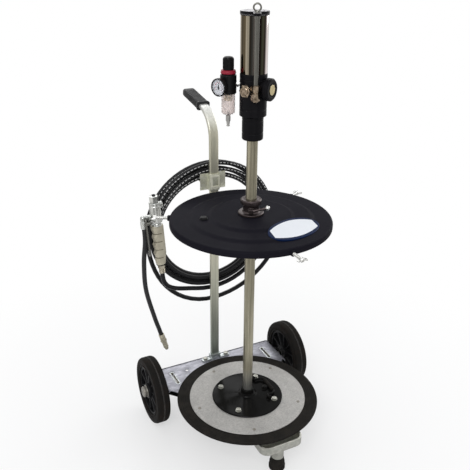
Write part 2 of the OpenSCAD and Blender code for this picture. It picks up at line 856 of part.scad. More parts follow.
module air_piston() {
    bore = cyl_d - 2 * cyl_wall;
    color("#8f9092") at_pump() translate([0, 0, cyl_z + piston_rest]) difference() {
        cylinder(r = bore / 2 - fit, h = piston_t, $fn = 96);
        translate([0, 0, piston_t / 2 - seal_w / 2]) difference() {
            cylinder(d = bore + over, h = seal_w, $fn = 96);
            translate([0, 0, -over]) cylinder(d = bore - 2 * seal_in, h = seal_w + 2 * over, $fn = 96);
        }
        translate([0, 0, -over]) cylinder(r = rod_d / 2 + fit, h = piston_t + 2 * over);
    }
}

module piston_rod() {
    color("#c4c4c6") at_pump() {
        translate([0, 0, plunger_z])
            cylinder(d = rod_d, h = cyl_z + piston_rest + piston_t - plunger_z);
        translate([0, 0, plunger_z]) cylinder(r = tube_d / 2 - tube_wall - fit, h = plunger_h);
    }
}

// Filter regulator

reg_low = port_z - reg_h / 2;
reg_top = port_z + reg_h / 2;
reg_port = 24;
reg_edge = 4;
inlet_r = 5.7;
reg_side = reg_d / 2 + reg_edge;
ring_h = 8;
ring_over = 1;

module at_reg() {
    translate([-reg_off, 0, 0]) children();
}

// Body with a port boss on each side and a rounded shoulder
module regulator_body() {
    color("#1a1a1c") at_pump() at_reg() difference() {
        union() {
            translate([0, 0, reg_low]) rotate_extrude() polygon([[0, 0],
                [reg_d / 2 - reg_edge / 2, 0], [reg_d / 2, reg_edge / 2],
                [reg_d / 2, reg_h - reg_edge], [reg_d / 2 - reg_edge, reg_h], [0, reg_h]]);
            radial(-90, port_z) cylinder(d = reg_port, h = reg_side);
            radial(gauge_turn, port_z - reg_edge) cylinder(d = reg_port, h = gauge_back);
        }
        radial(-90, port_z) translate([0, 0, reg_edge]) cylinder(r = inlet_r, h = reg_side);
        radial(90, port_z) translate([0, 0, reg_edge]) cylinder(r = port_r, h = reg_side);
        translate([0, 0, reg_low - over]) cylinder(r = bowl_d / 2 - bowl_t, h = over + reg_edge);
        translate([0, 0, reg_top - reg_edge]) cylinder(d = knob_stem + 2 * fit, h = 2 * reg_edge);
    }
}

module regulator_ring() {
    color("#a3122a") at_pump() at_reg() translate([0, 0, reg_top]) difference() {
        union() {
            cylinder(r = reg_d / 2 - reg_edge / 2, h = ring_h);
            cylinder(r = reg_d / 2 - reg_edge / 2 + ring_over, h = ring_h / 2);
        }
        translate([0, 0, -over]) cylinder(d = knob_stem + 2 * fit, h = ring_h + 2 * over);
    }
}

knob_stem = 16;
knob_flutes = 16;
flute_r = 1.2;
knob_dome = 3;

module regulator_knob() {
    z = reg_top + ring_h + gap;
    color("#232325") at_pump() at_reg() difference() {
        union() {
            translate([0, 0, z]) rotate_extrude() polygon([[0, 0], [knob_d / 2, 0],
                [knob_d / 2, knob_h - knob_dome], [knob_d / 2 - knob_dome, knob_h], [0, knob_h]]);
            translate([0, 0, reg_top - reg_edge + gap]) cylinder(d = knob_stem, h = z - reg_top + reg_edge);
        }
        for (i = [0 : knob_flutes - 1])
            rotate([0, 0, i * 360 / knob_flutes]) translate([knob_d / 2, 0, z + knob_dome])
                cylinder(r = flute_r, h = knob_h, $fn = 16);
    }
}

bowl_t = 2;
bowl_r = 8;
bowl_low = reg_low - bowl_h;
drain_d = 11;
drain_bore = 6;

// Clear bowl with a rounded bottom and a neck for the drain
module filter_bowl() {
    color("#dfe6e8", 0.5) at_pump() at_reg() translate([0, 0, bowl_low]) difference() {
        rotate_extrude() {
            translate([0, bowl_r]) square([bowl_d / 2, bowl_h - bowl_r]);
            square([bowl_d / 2 - bowl_r, bowl_r + over]);
            translate([bowl_d / 2 - bowl_r, bowl_r]) circle(bowl_r);
        }
        rotate_extrude() {
            translate([0, bowl_r]) square([bowl_d / 2 - bowl_t, bowl_h - bowl_r + over]);
            translate([0, bowl_t + fit]) square([bowl_d / 2 - bowl_r, bowl_r]);
            translate([bowl_d / 2 - bowl_r, bowl_r]) circle(bowl_r - bowl_t);
        }
        translate([0, 0, -over]) cylinder(r = drain_bore / 2 + fit, h = bowl_t + 2 * over);
    }
}

element_d = 20;
element_h = 20;
element_wall = 3;

module filter_element() {
    color("#b8924a") at_pump() at_reg() translate([0, 0, reg_low + reg_edge - element_h])
        difference() {
            cylinder(d = element_d, h = element_h);
            translate([0, 0, element_wall]) cylinder(d = element_d - 2 * element_wall, h = element_h);
        }
}

drain_h = 14;
drain_tip_d = 8;
drain_tip = 12;
drain_flange = 2;

module drain_valve() {
    color("#b9b8b2") at_pump() at_reg() difference() {
        union() {
            translate([0, 0, bowl_low - drain_gap - drain_h]) cylinder(d = drain_d, h = drain_h);
            translate([0, 0, bowl_low - drain_gap - drain_h - drain_tip])
                cylinder(d = drain_tip_d, h = drain_tip + over);
            translate([0, 0, bowl_low - drain_gap - over])
                cylinder(d = drain_bore, h = drain_gap + over + bowl_t + drain_flange + drain_push);
        }
        translate([0, 0, bowl_low - drain_gap - drain_h - drain_tip - over])
            cylinder(d = drain_tip_d / 2, h = drain_tip + over);
    }
}

drain_push = 3;
drain_gap = drain_push + gap;

gauge_back = reg_d / 2 + reg_edge + 2 * gap;
gauge_face = gauge_back + gauge_t;
bezel = 2.5;
dial_t = 1;
dial_in = 5;
hub_pin = 3;

module at_gauge() {
    at_pump() at_reg() radial(gauge_turn, port_z - reg_edge) children();
}

// Case with a raised bezel round the recess of the dial
module gauge_case() {
    color("#161618") at_gauge() difference() {
        union() {
            translate([0, 0, gauge_back + gap]) cylinder(d = gauge_d - 2 * bezel, h = gauge_t - gap);
            translate([0, 0, gauge_face - 2 * dial_in]) cylinder(d = gauge_d, h = 2 * dial_in);
        }
        translate([0, 0, gauge_face - dial_in]) cylinder(r = gauge_d / 2 - bezel, h = gauge_t);
        translate([0, 0, gauge_back]) cylinder(r = hub_pin / 2 + fit, h = gauge_t);
    }
}

module gauge_dial() {
    color("#f1f1ee") at_gauge() translate([0, 0, gauge_face - dial_in]) difference() {
        cylinder(r = gauge_d / 2 - bezel - fit, h = dial_t);
        translate([0, 0, -over]) cylinder(r = hub_pin / 2 + fit, h = dial_t + 2 * over);
    }
}

needle_len_share = 0.66;
needle_tail_share = 0.3;
needle_w = 1.6;
needle_t = 0.8;

module gauge_needle() {
    r = gauge_d / 2 - bezel;
    color("#141414") at_gauge() translate([0, 0, gauge_face - dial_in + dial_t + gap]) {
        linear_extrude(needle_t) polygon([[-needle_w / 2, -r * needle_tail_share],
            [needle_w / 2, -r * needle_tail_share], [needle_w / 2, 0],
            [needle_w / 4, r * needle_len_share], [-needle_w / 4, r * needle_len_share],
            [-needle_w / 2, 0]]);
        cylinder(d = 2 * needle_w + hub_pin / 2, h = needle_t + gap);
        translate([0, 0, -dial_t - 2 * gap]) cylinder(d = hub_pin, h = dial_t + 2 * gap + needle_t);
    }
}

module gauge_lens() {
    color("#eef4f6", 0.35) at_gauge() translate([0, 0, gauge_face - 2 * dial_t])
        cylinder(r = gauge_d / 2 - bezel - fit, h = dial_t);
}

// Lid

lid_steps_share = [0.74, 0.5];
lid_step_h = 5;
lid_step_w = 6;
lid_hole_gap = 1.5;
lid_top = lid_z + len(lid_steps_share) * lid_step_h;

// Height of the lid's upper face at a radius, with its pressed steps
function lid_face(i) = i * lid_step_h;

// Cross-section of the lid, drawn in by an inset from its outer face
module lid_section(inset) {
    r = lid_d / 2 - inset;
    e = lid_r - inset;
    arc = [for (i = [0 : 8]) [r - e + e * sin(i * 90 / 8), -inset - e + e * cos(i * 90 / 8)]];
    steps = [for (i = [len(lid_steps_share) - 1 : -1 : 0])
        for (k = [1, 0])
            [lid_steps_share[i] * lid_d / 2 + (1 - k) * lid_step_w, lid_face(i + k) - inset]];
    polygon(concat([[0, lid_face(len(lid_steps_share)) - inset]], steps, arc,
                   [[r, -lid_rim - inset], [0, -lid_rim - inset]]));
}

module lid() {
    color("#23232c") at_unit() translate([0, 0, lid_z]) difference() {
        union() {
            rotate_extrude($fn = 128) difference() {
                lid_section(0);
                lid_section(lid_t);
            }
            for (a = wing_angles)
                at_wing(a) translate([0, 0, lid_d / 2 - lid_t / 2]) rotate([0, 0, 30])
                    hex(wing_nut, wing_nut_h);
        }
        translate([0, 0, -lid_rim]) cylinder(r = tube_d / 2 + lid_hole_gap, h = 2 * lid_rim);
        translate([plug_x, plug_y, -lid_rim]) cylinder(r = lid_plug_d / 2 - lid_t, h = 2 * lid_rim);
        for (a = wing_angles)
            at_wing(a) cylinder(r = wing_d / 2 + fit, h = lid_d);
    }
}

plug_x = -117;
plug_y = 27;
lid_plug_d = 21;
lid_plug_h = 6;

module lid_plug() {
    color("#141416") at_unit() translate([plug_x, plug_y, lid_z + lid_step_h]) {
        cylinder(d = lid_plug_d, h = lid_plug_h / 2);
        cylinder(d = lid_plug_d - 2 * lid_t, h = lid_plug_h);
        translate([0, 0, -lid_t - lid_plug_h / 2])
            cylinder(r = lid_plug_d / 2 - lid_t - fit, h = lid_plug_h);
    }
}

flange_h = 6;
collar_neck = 40;
collar_h = 40;
ring_t = 13;
clamp_z = lid_top + flange_h + (collar_h - flange_h - ring_t) / 2;
screw_d = 8;
screw_head = 16;
screw_off = ring_d / 2 + gap;
lever_len = 42;
lever_d = 7;
knob_ball = 12;
lever_rise = 14;

// Turned collar that guides the tube through the lid and carries the clamp screw
module lid_collar() {
    color("#2a2526") at_pump() translate([0, 0, lid_top]) difference() {
        union() {
            cylinder(d = flange_d, h = flange_h);
            cylinder(d = collar_neck, h = collar_h);
            translate([0, 0, collar_h - ring_t]) cylinder(d = ring_d, h = ring_t);
            radial(0, clamp_z - lid_top) cylinder(d = screw_head, h = screw_off);
        }
        translate([0, 0, -over]) cylinder(r = tube_d / 2 + fit, h = collar_h + 2 * over);
        radial(0, clamp_z - lid_top) cylinder(r = screw_d / 2 + fit, h = ring_d);
    }
}

// Clamp screw with its bent lever and ball
module collar_lever() {
    color("#3a2b2c") at_pump() radial(0, clamp_z) {
        translate([0, 0, tube_d / 2 + gap]) cylinder(d = screw_d, h = screw_off - tube_d / 2 + lever_d);
        translate([0, 0, screw_off + gap]) cylinder(d = screw_head - body_edge, h = lever_d);
        rotate([0, 0, lever_rise]) translate([0, 0, screw_off + gap + lever_d / 2])
            rotate([0, 90, 0]) {
                cylinder(d = lever_d, h = lever_len);
                translate([0, 0, lever_len]) sphere(d = knob_ball);
            }
    }
}

wing_span = 26;
wing_t = 3;
wing_h = 13;
wing_boss = 12;
wing_nut = 13;
wing_nut_h = 7;
wing_tip = 4;               // how far a screw looks out inside the rim
wing_low = wing_d / 2 + lid_t - lid_rim;
wing_angles = [-90, 150, 30];

// Axis of a screw through the lid's rim, from the height of the lid's rim outwards
module at_wing(angle) {
    translate([0, 0, wing_low]) rotate([0, 0, angle]) rotate([0, 90, 0]) children();
}

module wing_screw(angle) {
    reach = lid_d / 2 + wing_out;
    color("#b6b29e") at_unit() translate([0, 0, lid_z]) at_wing(angle) {
        translate([0, 0, lid_d / 2 - lid_t - wing_tip])
            cylinder(d = wing_d, h = lid_t + wing_tip + wing_out - wing_boss / 2);
        translate([0, 0, reach - wing_boss]) cylinder(d = wing_boss, h = wing_boss - wing_t / 2);
        for (s = [-1, 1])
            translate([-wing_t / 2, s > 0 ? 0 : -wing_span / 2, reach - wing_h])
                cube([wing_t, wing_span / 2, wing_h]);
    }
}

module wing_screw_front() { wing_screw(wing_angles[0]); }
module wing_screw_left() { wing_screw(wing_angles[1]); }
module wing_screw_right() { wing_screw(wing_angles[2]); }

// Follower plate

hub_rise = 8;
hub_neck = 44;
hub_collar = 36;
hub_t = 4;
bolt_pcd = 160;
rivet_pcd = 292;
rivets = 5;
rivet_turn = 34;
rivet_d = 9;
rivet_h = 2;
lip_edge = 2;
guide_gap = 0.1;

module follower_lip() {
    color("#292624") at_unit() translate([0, 0, lip_z]) difference() {
        rotate_extrude($fn = 128) polygon([[hub_collar, 0], [lip_d / 2 - lip_edge, 0],
            [lip_d / 2, lip_t / 2], [lip_d / 2 - lip_edge, lip_t], [hub_collar, lip_t]]);
        follower_holes();
    }
}

module follower_disc() {
    color("#a5a3a0") at_unit() translate([0, 0, disc_z]) difference() {
        cylinder(d = disc_d, h = disc_t, $fn = 128);
        translate([0, 0, -over]) cylinder(r = hub_collar, h = disc_t + 2 * over);
        follower_holes();
    }
}

// Holes for the bolts of the hub and the rivets of the disc
module follower_holes() {
    for (i = [0 : 3])
        rotate([0, 0, 45 + i * 90]) translate([bolt_pcd / 2, 0, -over])
            cylinder(d = bolt_d + 2 * fit, h = 2 * lip_t + 2 * over);
    for (i = [0 : rivets - 1])
        rotate([0, 0, rivet_turn + i * 360 / rivets]) translate([rivet_pcd / 2, 0, -over])
            cylinder(d = rivet_d / 2 + 2 * fit, h = 2 * lip_t + 2 * over);
}

// Cast hub: a shallow cone with a collar round the tube and two ears for the bail
module follower_hub() {
    r = hub_plate_d / 2;
    color("#131315") at_unit() translate([0, 0, hub_z]) difference() {
        union() {
            rotate_extrude($fn = 96) polygon([[0, 0], [r, 0], [r, hub_t / 2], [r - hub_t / 2, hub_t],
                [hub_neck / 2 + hub_t, hub_rise], [hub_neck / 2, hub_rise + hub_t],
                [hub_collar / 2, hub_rise + hub_t], [hub_collar / 2, hub_h], [0, hub_h]]);
            for (s = [-1, 1])
                translate([bail_x - ear_len / 2, s * (bail_len / 2 + ear_thick) - ear_thick / 2, 0])
                    cube([ear_len, ear_thick, bail_z - hub_z + ear_thick]);
            translate([vent_x, vent_y, 0]) cylinder(d = vent_d, h = hub_rise + hub_t / 2);
        }
        translate([0, 0, -over]) cylinder(r = tube_d / 2 + guide_gap - fit, h = hub_h + 2 * over);
        for (i = [0 : 3])
            rotate([0, 0, 45 + i * 90]) translate([bolt_pcd / 2, 0, -over])
                cylinder(d = bolt_d + 2 * fit, h = hub_h);
        translate([bail_x, 0, bail_z - hub_z]) rotate([90, 0, 0])
            cylinder(r = bail_d / 2 + fit, h = 2 * bail_len, center = true);
        translate([vent_x, vent_y, hub_t]) cylinder(d = vent_d / 2 + 2 * fit, h = hub_h);
    }
}

ear_len = 12;
ear_thick = 5;
bail_x = 44;
bail_d = 7;
bail_z = hub_z + hub_rise + bail_d / 2;
bail_drop = 26;
bail_r = 12;
vent_x = 55;
vent_y = -2;
vent_d = 18;

module follower_bolts() {
    head_z = hub_z + hub_t + bolt_lift;
    color("#c7c5c0") at_unit() for (i = [0 : 3])
        rotate([0, 0, 45 + i * 90]) translate([bolt_pcd / 2, 0, 0]) {
            translate([0, 0, head_z]) hex(bolt_head, bolt_head_h);
            translate([0, 0, lip_z + gap]) cylinder(d = bolt_d, h = head_z - lip_z);
        }
}

// The hub's cone is a little higher than its rim where the bolts pass
bolt_share = (hub_plate_d / 2 - hub_t / 2 - bolt_pcd / 2 + bolt_head)
           / (hub_plate_d / 2 - hub_t / 2 - hub_neck / 2 - hub_t);
bolt_lift = (hub_rise - hub_t) * bolt_share;

module follower_rivets() {
    color("#8b8a86") at_unit() for (i = [0 : rivets - 1])
        rotate([0, 0, rivet_turn + i * 360 / rivets]) translate([rivet_pcd / 2, 0, 0]) {
            translate([0, 0, hub_z]) cylinder(d1 = rivet_d, d2 = rivet_d / 2, h = rivet_h);
            translate([0, 0, lip_z + gap]) cylinder(d = rivet_d / 2, h = hub_z - lip_z);
        }
}

// Round bail folded down on the hub, with its ends in the ears
module bail_handle() {
    half = bail_len / 2;
    color("#161618") at_unit() translate([bail_x, 0, bail_z]) {
        for (s = [-1, 1]) {
            translate([0, s * (half + ear_thick / 2), 0]) rotate([90, 0, 0])
                cylinder(d = bail_d, h = 3 * ear_thick, center = true);
            translate([0, s * (half - ear_thick), 0]) rotate([0, 90, 0])
                cylinder(d = bail_d, h = bail_drop - bail_r);
            translate([bail_drop - bail_r, s * (half - ear_thick - bail_r), 0])
                rotate([0, 0, s > 0 ? 0 : -90]) rotate_extrude(angle = 90)
                    translate([bail_r, 0]) circle(d = bail_d);
            translate([0, s * (half - ear_thick), 0]) sphere(d = bail_d);
        }
        translate([bail_drop, 0, 0]) rotate([90, 0, 0])
            cylinder(d = bail_d, h = bail_len - 2 * ear_thick - 2 * bail_r, center = true);
    }
}

module vent_plug() {
    z = hub_z + hub_rise + hub_t / 2;
    color("#b9b8b2") at_unit() translate([vent_x, vent_y, 0]) {
        translate([0, 0, z + fit]) hex(vent_d / 2 + hub_t, hub_t);
        translate([0, 0, hub_z + hub_t + fit]) cylinder(d = vent_d / 2, h = z - hub_z - hub_t + hub_t / 2);
    }
}

// Hose coil on the bracket: one tube that winds inwards in front and outwards behind

hose_sides = 6;
rings = 24;                 // rings of the tube in each loop
start_angle = 255;          // where the tube joins the front layer, from +X towards +Z
end_angle = 350;            // where it leaves the rear layer
hang_angle = 185;           // where the last loop starts to hang
hang_turn_share = 0.236;
turns = loops + (end_angle - start_angle) / 360;
turn_back = turns / 2 - 0.06;
hang_from = loops - (start_angle - hang_angle) / 360;

function smooth(x) = let (c = min(max(x, 0), 1)) c * c * (3 - 2 * c);
function unit(v) = v / norm(v);

// Radius and depth of the coil after t turns
function coil_radius(t) = coil_r + loop_step * abs(t - turn_back)
    + coil_sag * smooth((t - hang_from) / hang_turn_share);
function coil_depth(t) = coil_front + pitch * smooth((t - turn_back) * 2 + 1 / 2);

function coil_point(t) = let (a = start_angle + 360 * t)
    [coil_x + coil_radius(t) * cos(a), coil_depth(t), coil_z + coil_radius(t) * sin(a)];

// A point of the curve between two ends with a handle at each
function bend_point(u, p, p_out, q_in, q) =
    pow(1 - u, 3) * p + 3 * u * pow(1 - u, 2) * p_out + 3 * u * u * (1 - u) * q_in + u * u * u * q;

// Place and lean of the grease gun, whose hose end is the start of the coil's tube
gun_tilt = 3.9;
gun_x = -164;
gun_z = 445;
head_d = 30;
gun_y = coil_front - hose_d / 2 - gap - head_d / 2;
gun_down = [sin(gun_tilt), 0, -cos(gun_tilt)];
gun_end = [gun_x, gun_y, gun_z];
end_way = [-sin(end_angle), 0, cos(end_angle)];
lead = 4 * hose_d;          // length of the handles of the curve between gun and coil
lead_rings = 4;

coil_path = let (
    first = gun_end + gun_down * hose_d,
    joined = coil_point(0),
    way = [-sin(start_angle), 0, cos(start_angle)],
    last = coil_point(turns)
) concat([gun_end],
    [for (i = [0 : lead_rings - 1])
        bend_point(i / lead_rings, first, first + gun_down * lead, joined - way * lead, joined)],
    [for (i = [0 : floor(turns * rings)]) coil_point(i / rings)],
    [last + end_way * hose_d / 2, last + end_way * 3 / 2 * hose_d]);

// Triangles of a tube along points, each ring square to the way through its point
module tube(path, sides, r) {
    n = len(path);
    ways = [for (i = [0 : n - 1]) unit(path[min(i + 1, n - 1)] - path[max(i - 1, 0)])];
    points = [for (i = [0 : n - 1]) let (
            side = unit([0, 1, 0] - ways[i] * ways[i][1]),
            rise = cross(ways[i], side)
        ) for (k = [0 : sides - 1])
            path[i] + r * (side * cos(k * 360 / sides) + rise * sin(k * 360 / sides))];
    walls = [for (i = [0 : n - 2], k = [0 : sides - 1]) let (
            a = i * sides + k,
            b = i * sides + (k + 1) % sides
        ) each [[a, a + sides, b + sides], [a, b + sides, b]]];
    ends = [for (k = [1 : sides - 2]) each [[0, k, k + 1],
            [(n - 1) * sides, (n - 1) * sides + k + 1, (n - 1) * sides + k]]];
    polyhedron(points = points, faces = concat(walls, ends));
}

// Least gap between turns, from the points of the tube and the middles between them
coil_marks = [for (i = [0 : len(coil_path) - 2]) each
    [coil_path[i], (coil_path[i] + coil_path[i + 1]) / 2]];
coil_least = min([for (i = [0 : len(coil_marks) - 1 - rings], j = [i + rings : len(coil_marks) - 1])
    norm(coil_marks[i] - coil_marks[j])]) - hose_d;
coil_length = sum_of([for (i = [1 : len(coil_path) - 1]) norm(coil_path[i] - coil_path[i - 1])]);
function sum_of(v) = v * [for (i = v) 1];

module hose_coil() {
    echo(least_gap = coil_least, coil_length = coil_length, coil_end = coil_path[len(coil_path) - 1]);
    color("#151515") at_unit() tube(coil_path, hose_sides, hose_d / 2);
}

ferrule_d = 17;
ferrule_len = 22;
swivel_d = 19;
swivel_len = 12;

// Crimped sleeve and swivel nut on the free end of the hose
module hose_end() {
    p = coil_path[len(coil_path) - 1];
    color("#c2b79d") at_unit() translate(p) rotate([0, -end_angle, 0]) difference() {
        union() {
            cylinder(d = ferrule_d, h = ferrule_len);
            cylinder(d = hose_d, h = ferrule_len + hose_d / 2);
            translate([0, 0, ferrule_len + hose_d / 2]) hex(swivel_d, swivel_len);
        }
        translate([0, 0, ferrule_len + hose_d / 2 + swivel_len / 3]) cylinder(d = hose_d, h = swivel_len);
    }
}

// Grease gun, hung on the front of the coil with its hose end down

inlet_len_gun = 28;
head_z = inlet_len_gun + gun_len;
head_len = 66;
gun_nut = 22;
gun_nut_h = 18;
groove_r = 20;
groove_in = 3;
grooves = 4;
taper_share = 0.3;
outlet_side = 9;            // how far the outlet lies behind the gun's own middle
outlet_h = head_z + 22;
outlet_drop = 30;
outlet_out = 34;
outlet_d = 15;
trigger_w = 12;
trigger_t = 6;
trigger_gap = 9;
trigger_y = -7;
trigger_len = 96;
pivot_h = head_z + 14;
pivot_d = 5;

module at_gun() {
    at_unit() translate(gun_end) rotate([0, -gun_tilt, 0]) children();
}

// Side view of the handle: finger grooves on its left and a taper towards the hose
module handle_side() {
    step = gun_len / (grooves + 1);
    difference() {
        polygon([[-gun_w / 2 + groove_in, 0], [gun_w / 2 - 2 * groove_in, 0],
            [gun_w / 2, gun_len * taper_share], [gun_w / 2, gun_len],
            [-gun_w / 2, gun_len], [-gun_w / 2, gun_len * taper_share]]);
        for (i = [0 : grooves - 1])
            translate([-gun_w / 2 - groove_r + groove_in, step * (i + 1)]) circle(groove_r);
    }
}

module gun_body() {
    color("#b5ae9c") at_gun() difference() {
        union() {
            translate([0, 0, inlet_len_gun]) intersection() {
                linear_extrude(gun_len) round_rect(gun_w, gun_d, gun_d / 2 - groove_in);
                translate([0, gun_d / 2, 0]) rotate([90, 0, 0]) linear_extrude(gun_d) handle_side();
            }
            translate([0, 0, head_z - groove_in]) cylinder(d = head_d, h = head_len + groove_in);
            translate([0, 0, head_z + head_len]) hex(gun_nut, gun_nut_h);
            translate([0, 0, head_z + head_len])
                cylinder(d = gun_nut - 2 * trigger_t, h = gun_nut_h + groove_in);
            translate([0, 0, head_z + head_len - gun_nut / 2]) rotate([0, 90, 0])
                cylinder(d = gun_nut - groove_in, h = head_d / 2 + 2 * groove_in);
            for (s = [-1, 1])
                translate([0, trigger_y + s * (trigger_w / 2 + gap), pivot_h - trigger_t])
                    mirror([1, 0, 0]) mirror([0, s < 0 ? 1 : 0, 0])
                        cube([head_d / 2 + trigger_t + gap, trigger_t / 2, 2 * trigger_t]);
        }
        translate([-head_d / 2 - trigger_t / 2 - gap, trigger_y, pivot_h]) rotate([90, 0, 0])
            cylinder(r = pivot_d / 2 + fit, h = 3 * trigger_w, center = true);
        translate([0, 0, inlet_len_gun - over]) cylinder(r = port_r, h = gun_len / 4);
        translate([-outlet_out, outlet_side, outlet_h]) rotate([0, 90, 0])
            cylinder(r = (outlet_d - groove_in) / 2 + fit, h = outlet_out - head_d / 2 + groove_in + fit);
    }
}

// Lever that lies along the handle and turns on a pin between the ears of the head
module gun_trigger() {
    color("#c9c9c4") at_gun() translate([-head_d / 2 - trigger_t / 2 - gap, trigger_y, pivot_h]) {
        rotate([90, 0, 0]) cylinder(d = pivot_d, h = trigger_w + 3 * trigger_t / 2 + fit, center = true);
        translate([-trigger_t / 2, -trigger_w / 2, -trigger_t / 2 - fit])
            cube([trigger_t, trigger_w, trigger_t + fit]);
        translate([-trigger_t / 2 - trigger_gap, -trigger_w / 2, -trigger_t])
            cube([trigger_t / 2 + trigger_gap, trigger_w, trigger_t]);
        translate([-trigger_t - trigger_gap, 0, 0]) rotate([0, 90, 0])
            linear_extrude(trigger_t / 2) hull() {
                translate([-trigger_t / 2, 0]) circle(d = trigger_w);
                translate([trigger_len, 0]) circle(d = trigger_w);
            }
    }
}

// Where the delivery hose meets the gun's outlet
outlet_at = let (h = outlet_h - outlet_drop)
    gun_end + [-sin(gun_tilt) * h - cos(gun_tilt) * outlet_out, outlet_side,
               cos(gun_tilt) * h - sin(gun_tilt) * outlet_out];

// Swivel and sleeve below the gun, and the elbow and sleeve at its outlet
module gun_fittings() {
    color("#c2b79d") at_gun() {
        cylinder(d = ferrule_d, h = inlet_len_gun - swivel_len / 2);
        translate([0, 0, inlet_len_gun - swivel_len]) hex(swivel_d, swivel_len);
        translate([0, 0, inlet_len_gun]) cylinder(r = port_r - fit, h = swivel_len);
        translate([-outlet_out, outlet_side, outlet_h]) {
            translate([0, 0, -outlet_drop]) cylinder(d = ferrule_d, h = outlet_drop - ferrule_d / 2);
            translate([0, 0, -outlet_drop]) cylinder(d = outlet_d, h = outlet_drop);
            sphere(d = outlet_d);
            rotate([0, 90, 0]) cylinder(d = outlet_d - groove_in, h = outlet_out - head_d / 2 + groove_in);
        }
    }
}

// Delivery hose: the points that it hangs through, below its straight start at the gun
delivery_route = [[-207, 224, 540], [-213, 225, 480], [-211, 226, 395], [-190, 226, 300], [-177, 226, 254]];
delivery_end = [-172, 226, 236];
coupler_way = unit([0.28, 0, -0.96]);

// Point of a smooth curve through b and c, between its neighbours a and d
function curve_point(a, b, c, d, u) =
    (2 * b + (c - a) * u + (2 * a - 5 * b + 4 * c - d) * u * u + (3 * b - a - 3 * c + d) * u * u * u) / 2;

delivery_path = let (
    start = outlet_at + gun_down * hose_d,
    end = delivery_end - coupler_way * hose_d,
    knots = concat([outlet_at, start], delivery_route, [end, delivery_end]),
    n = len(knots)
) concat([outlet_at],
    [for (i = [1 : n - 3]) let (
            steps = ceil(norm(knots[i + 1] - knots[i]) / (3 * hose_d))
        ) for (k = [0 : steps - 1])
            curve_point(knots[i - 1], knots[i], knots[i + 1], knots[i + 2], k / steps)],
    [end, delivery_end]);

delivery_sides = 12;

module delivery_hose() {
    color("#1b1b1c") at_unit() tube(delivery_path, delivery_sides, hose_d / 2);
}

coupler_d = 15;
coupler_len = 24;
nose_d = 12;

// Sleeve, hexagon and grease coupler on the end of the delivery hose
module coupler() {
    color("#b5ae9c") at_unit() translate(delivery_end)
        rotate([0, 180 - atan2(coupler_way[0], -coupler_way[2]), 0]) difference() {
            union() {
                cylinder(d = ferrule_d, h = ferrule_len);
                translate([0, 0, ferrule_len]) hex(ferrule_d, nose_d / 2);
                translate([0, 0, ferrule_len + nose_d / 2]) cylinder(d = coupler_d, h = coupler_len);
                cylinder(d = nose_d, h = ferrule_len + nose_d + coupler_len);
            }
            translate([0, 0, ferrule_len + coupler_len]) cylinder(d = nose_d / 2, h = coupler_len);
        }
}

front_fork();
side_braces();
deck_plate();
foot_rubber();
axle();
axle_caps();
upright();
handle_grip();
upright_clamp();
trolley_bolts();
hose_bracket();
wheel_rim_left();
wheel_rim_right();
tyre_left();
tyre_right();
motor_cap();
cap_gasket();
lifting_eye();
motor_cylinder();
valve_body();
pump_neck();
transfer_tube();
air_fittings();
exhaust_housing();
exhaust_disc();
suction_tube();
foot_valve();
air_piston();
piston_rod();
regulator_body();
regulator_ring();
filter_bowl();
filter_element();
gauge_case();
gauge_dial();
gauge_needle();
gauge_lens();
regulator_knob();
drain_valve();
lid();
lid_collar();
collar_lever();
wing_screw_front();
wing_screw_left();
wing_screw_right();
lid_plug();
follower_lip();
follower_disc();
follower_hub();
follower_bolts();
follower_rivets();
bail_handle();
vent_plug();
hose_coil();
hose_end();
gun_body();
gun_trigger();
gun_fittings();
delivery_hose();
coupler();
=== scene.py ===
# Mobile grease unit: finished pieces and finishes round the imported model.
# Sizes are millimetres in the trolley's frame, whose Z axis is the pump's axis.
import math
import bmesh
import bpy
from mathutils import Matrix, Vector


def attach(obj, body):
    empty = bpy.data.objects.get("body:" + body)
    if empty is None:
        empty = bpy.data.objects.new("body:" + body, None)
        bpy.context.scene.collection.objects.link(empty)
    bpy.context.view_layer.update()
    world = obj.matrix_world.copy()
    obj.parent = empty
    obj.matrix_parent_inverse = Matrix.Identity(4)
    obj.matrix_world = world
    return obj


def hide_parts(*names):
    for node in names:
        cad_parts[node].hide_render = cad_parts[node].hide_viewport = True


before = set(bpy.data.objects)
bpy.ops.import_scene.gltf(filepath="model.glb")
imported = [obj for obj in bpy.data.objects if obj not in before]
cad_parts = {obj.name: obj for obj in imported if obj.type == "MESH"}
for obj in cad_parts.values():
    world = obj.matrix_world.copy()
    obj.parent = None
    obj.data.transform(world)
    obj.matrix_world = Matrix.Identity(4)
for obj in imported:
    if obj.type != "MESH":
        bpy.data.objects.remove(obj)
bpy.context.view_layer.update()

# where the pump's axis stands in the frame, how the pump is turned on it, how far out the regulator hangs
axisY = -0.072645
pumpTurn = -28
regulatorOut = 58
trolley = Matrix.Translation((0, axisY, 0)) @ Matrix.Scale(0.001, 4)
pump = trolley @ Matrix.Rotation(math.radians(pumpTurn), 4, "Z")
regulator = pump @ Matrix.Translation((-regulatorOut, 0, 0))


def moved(x=0, y=0, z=0):
    return Matrix.Translation((x, y, z))


def turnedBy(degrees, axis="Z"):
    return Matrix.Rotation(math.radians(degrees), 4, axis)


def radial(angle, height):
    # own Z points outwards from the axis, own Y points up
    return moved(0, 0, height) @ turnedBy(angle) @ turnedBy(90, "X")


def setInputs(node, values):
    for key, value in values.items():
        node.inputs[key].default_value = value
    return node


# Camera and light

view = {
    "place": (-0.71017, -1.40083, 1.29889),
    "turn": (0.81874, 0.52673, -0.12735, -0.18974),
    "lens": 49.78,
    "floor": 0.93,
    "skyLight": 0.62,
}


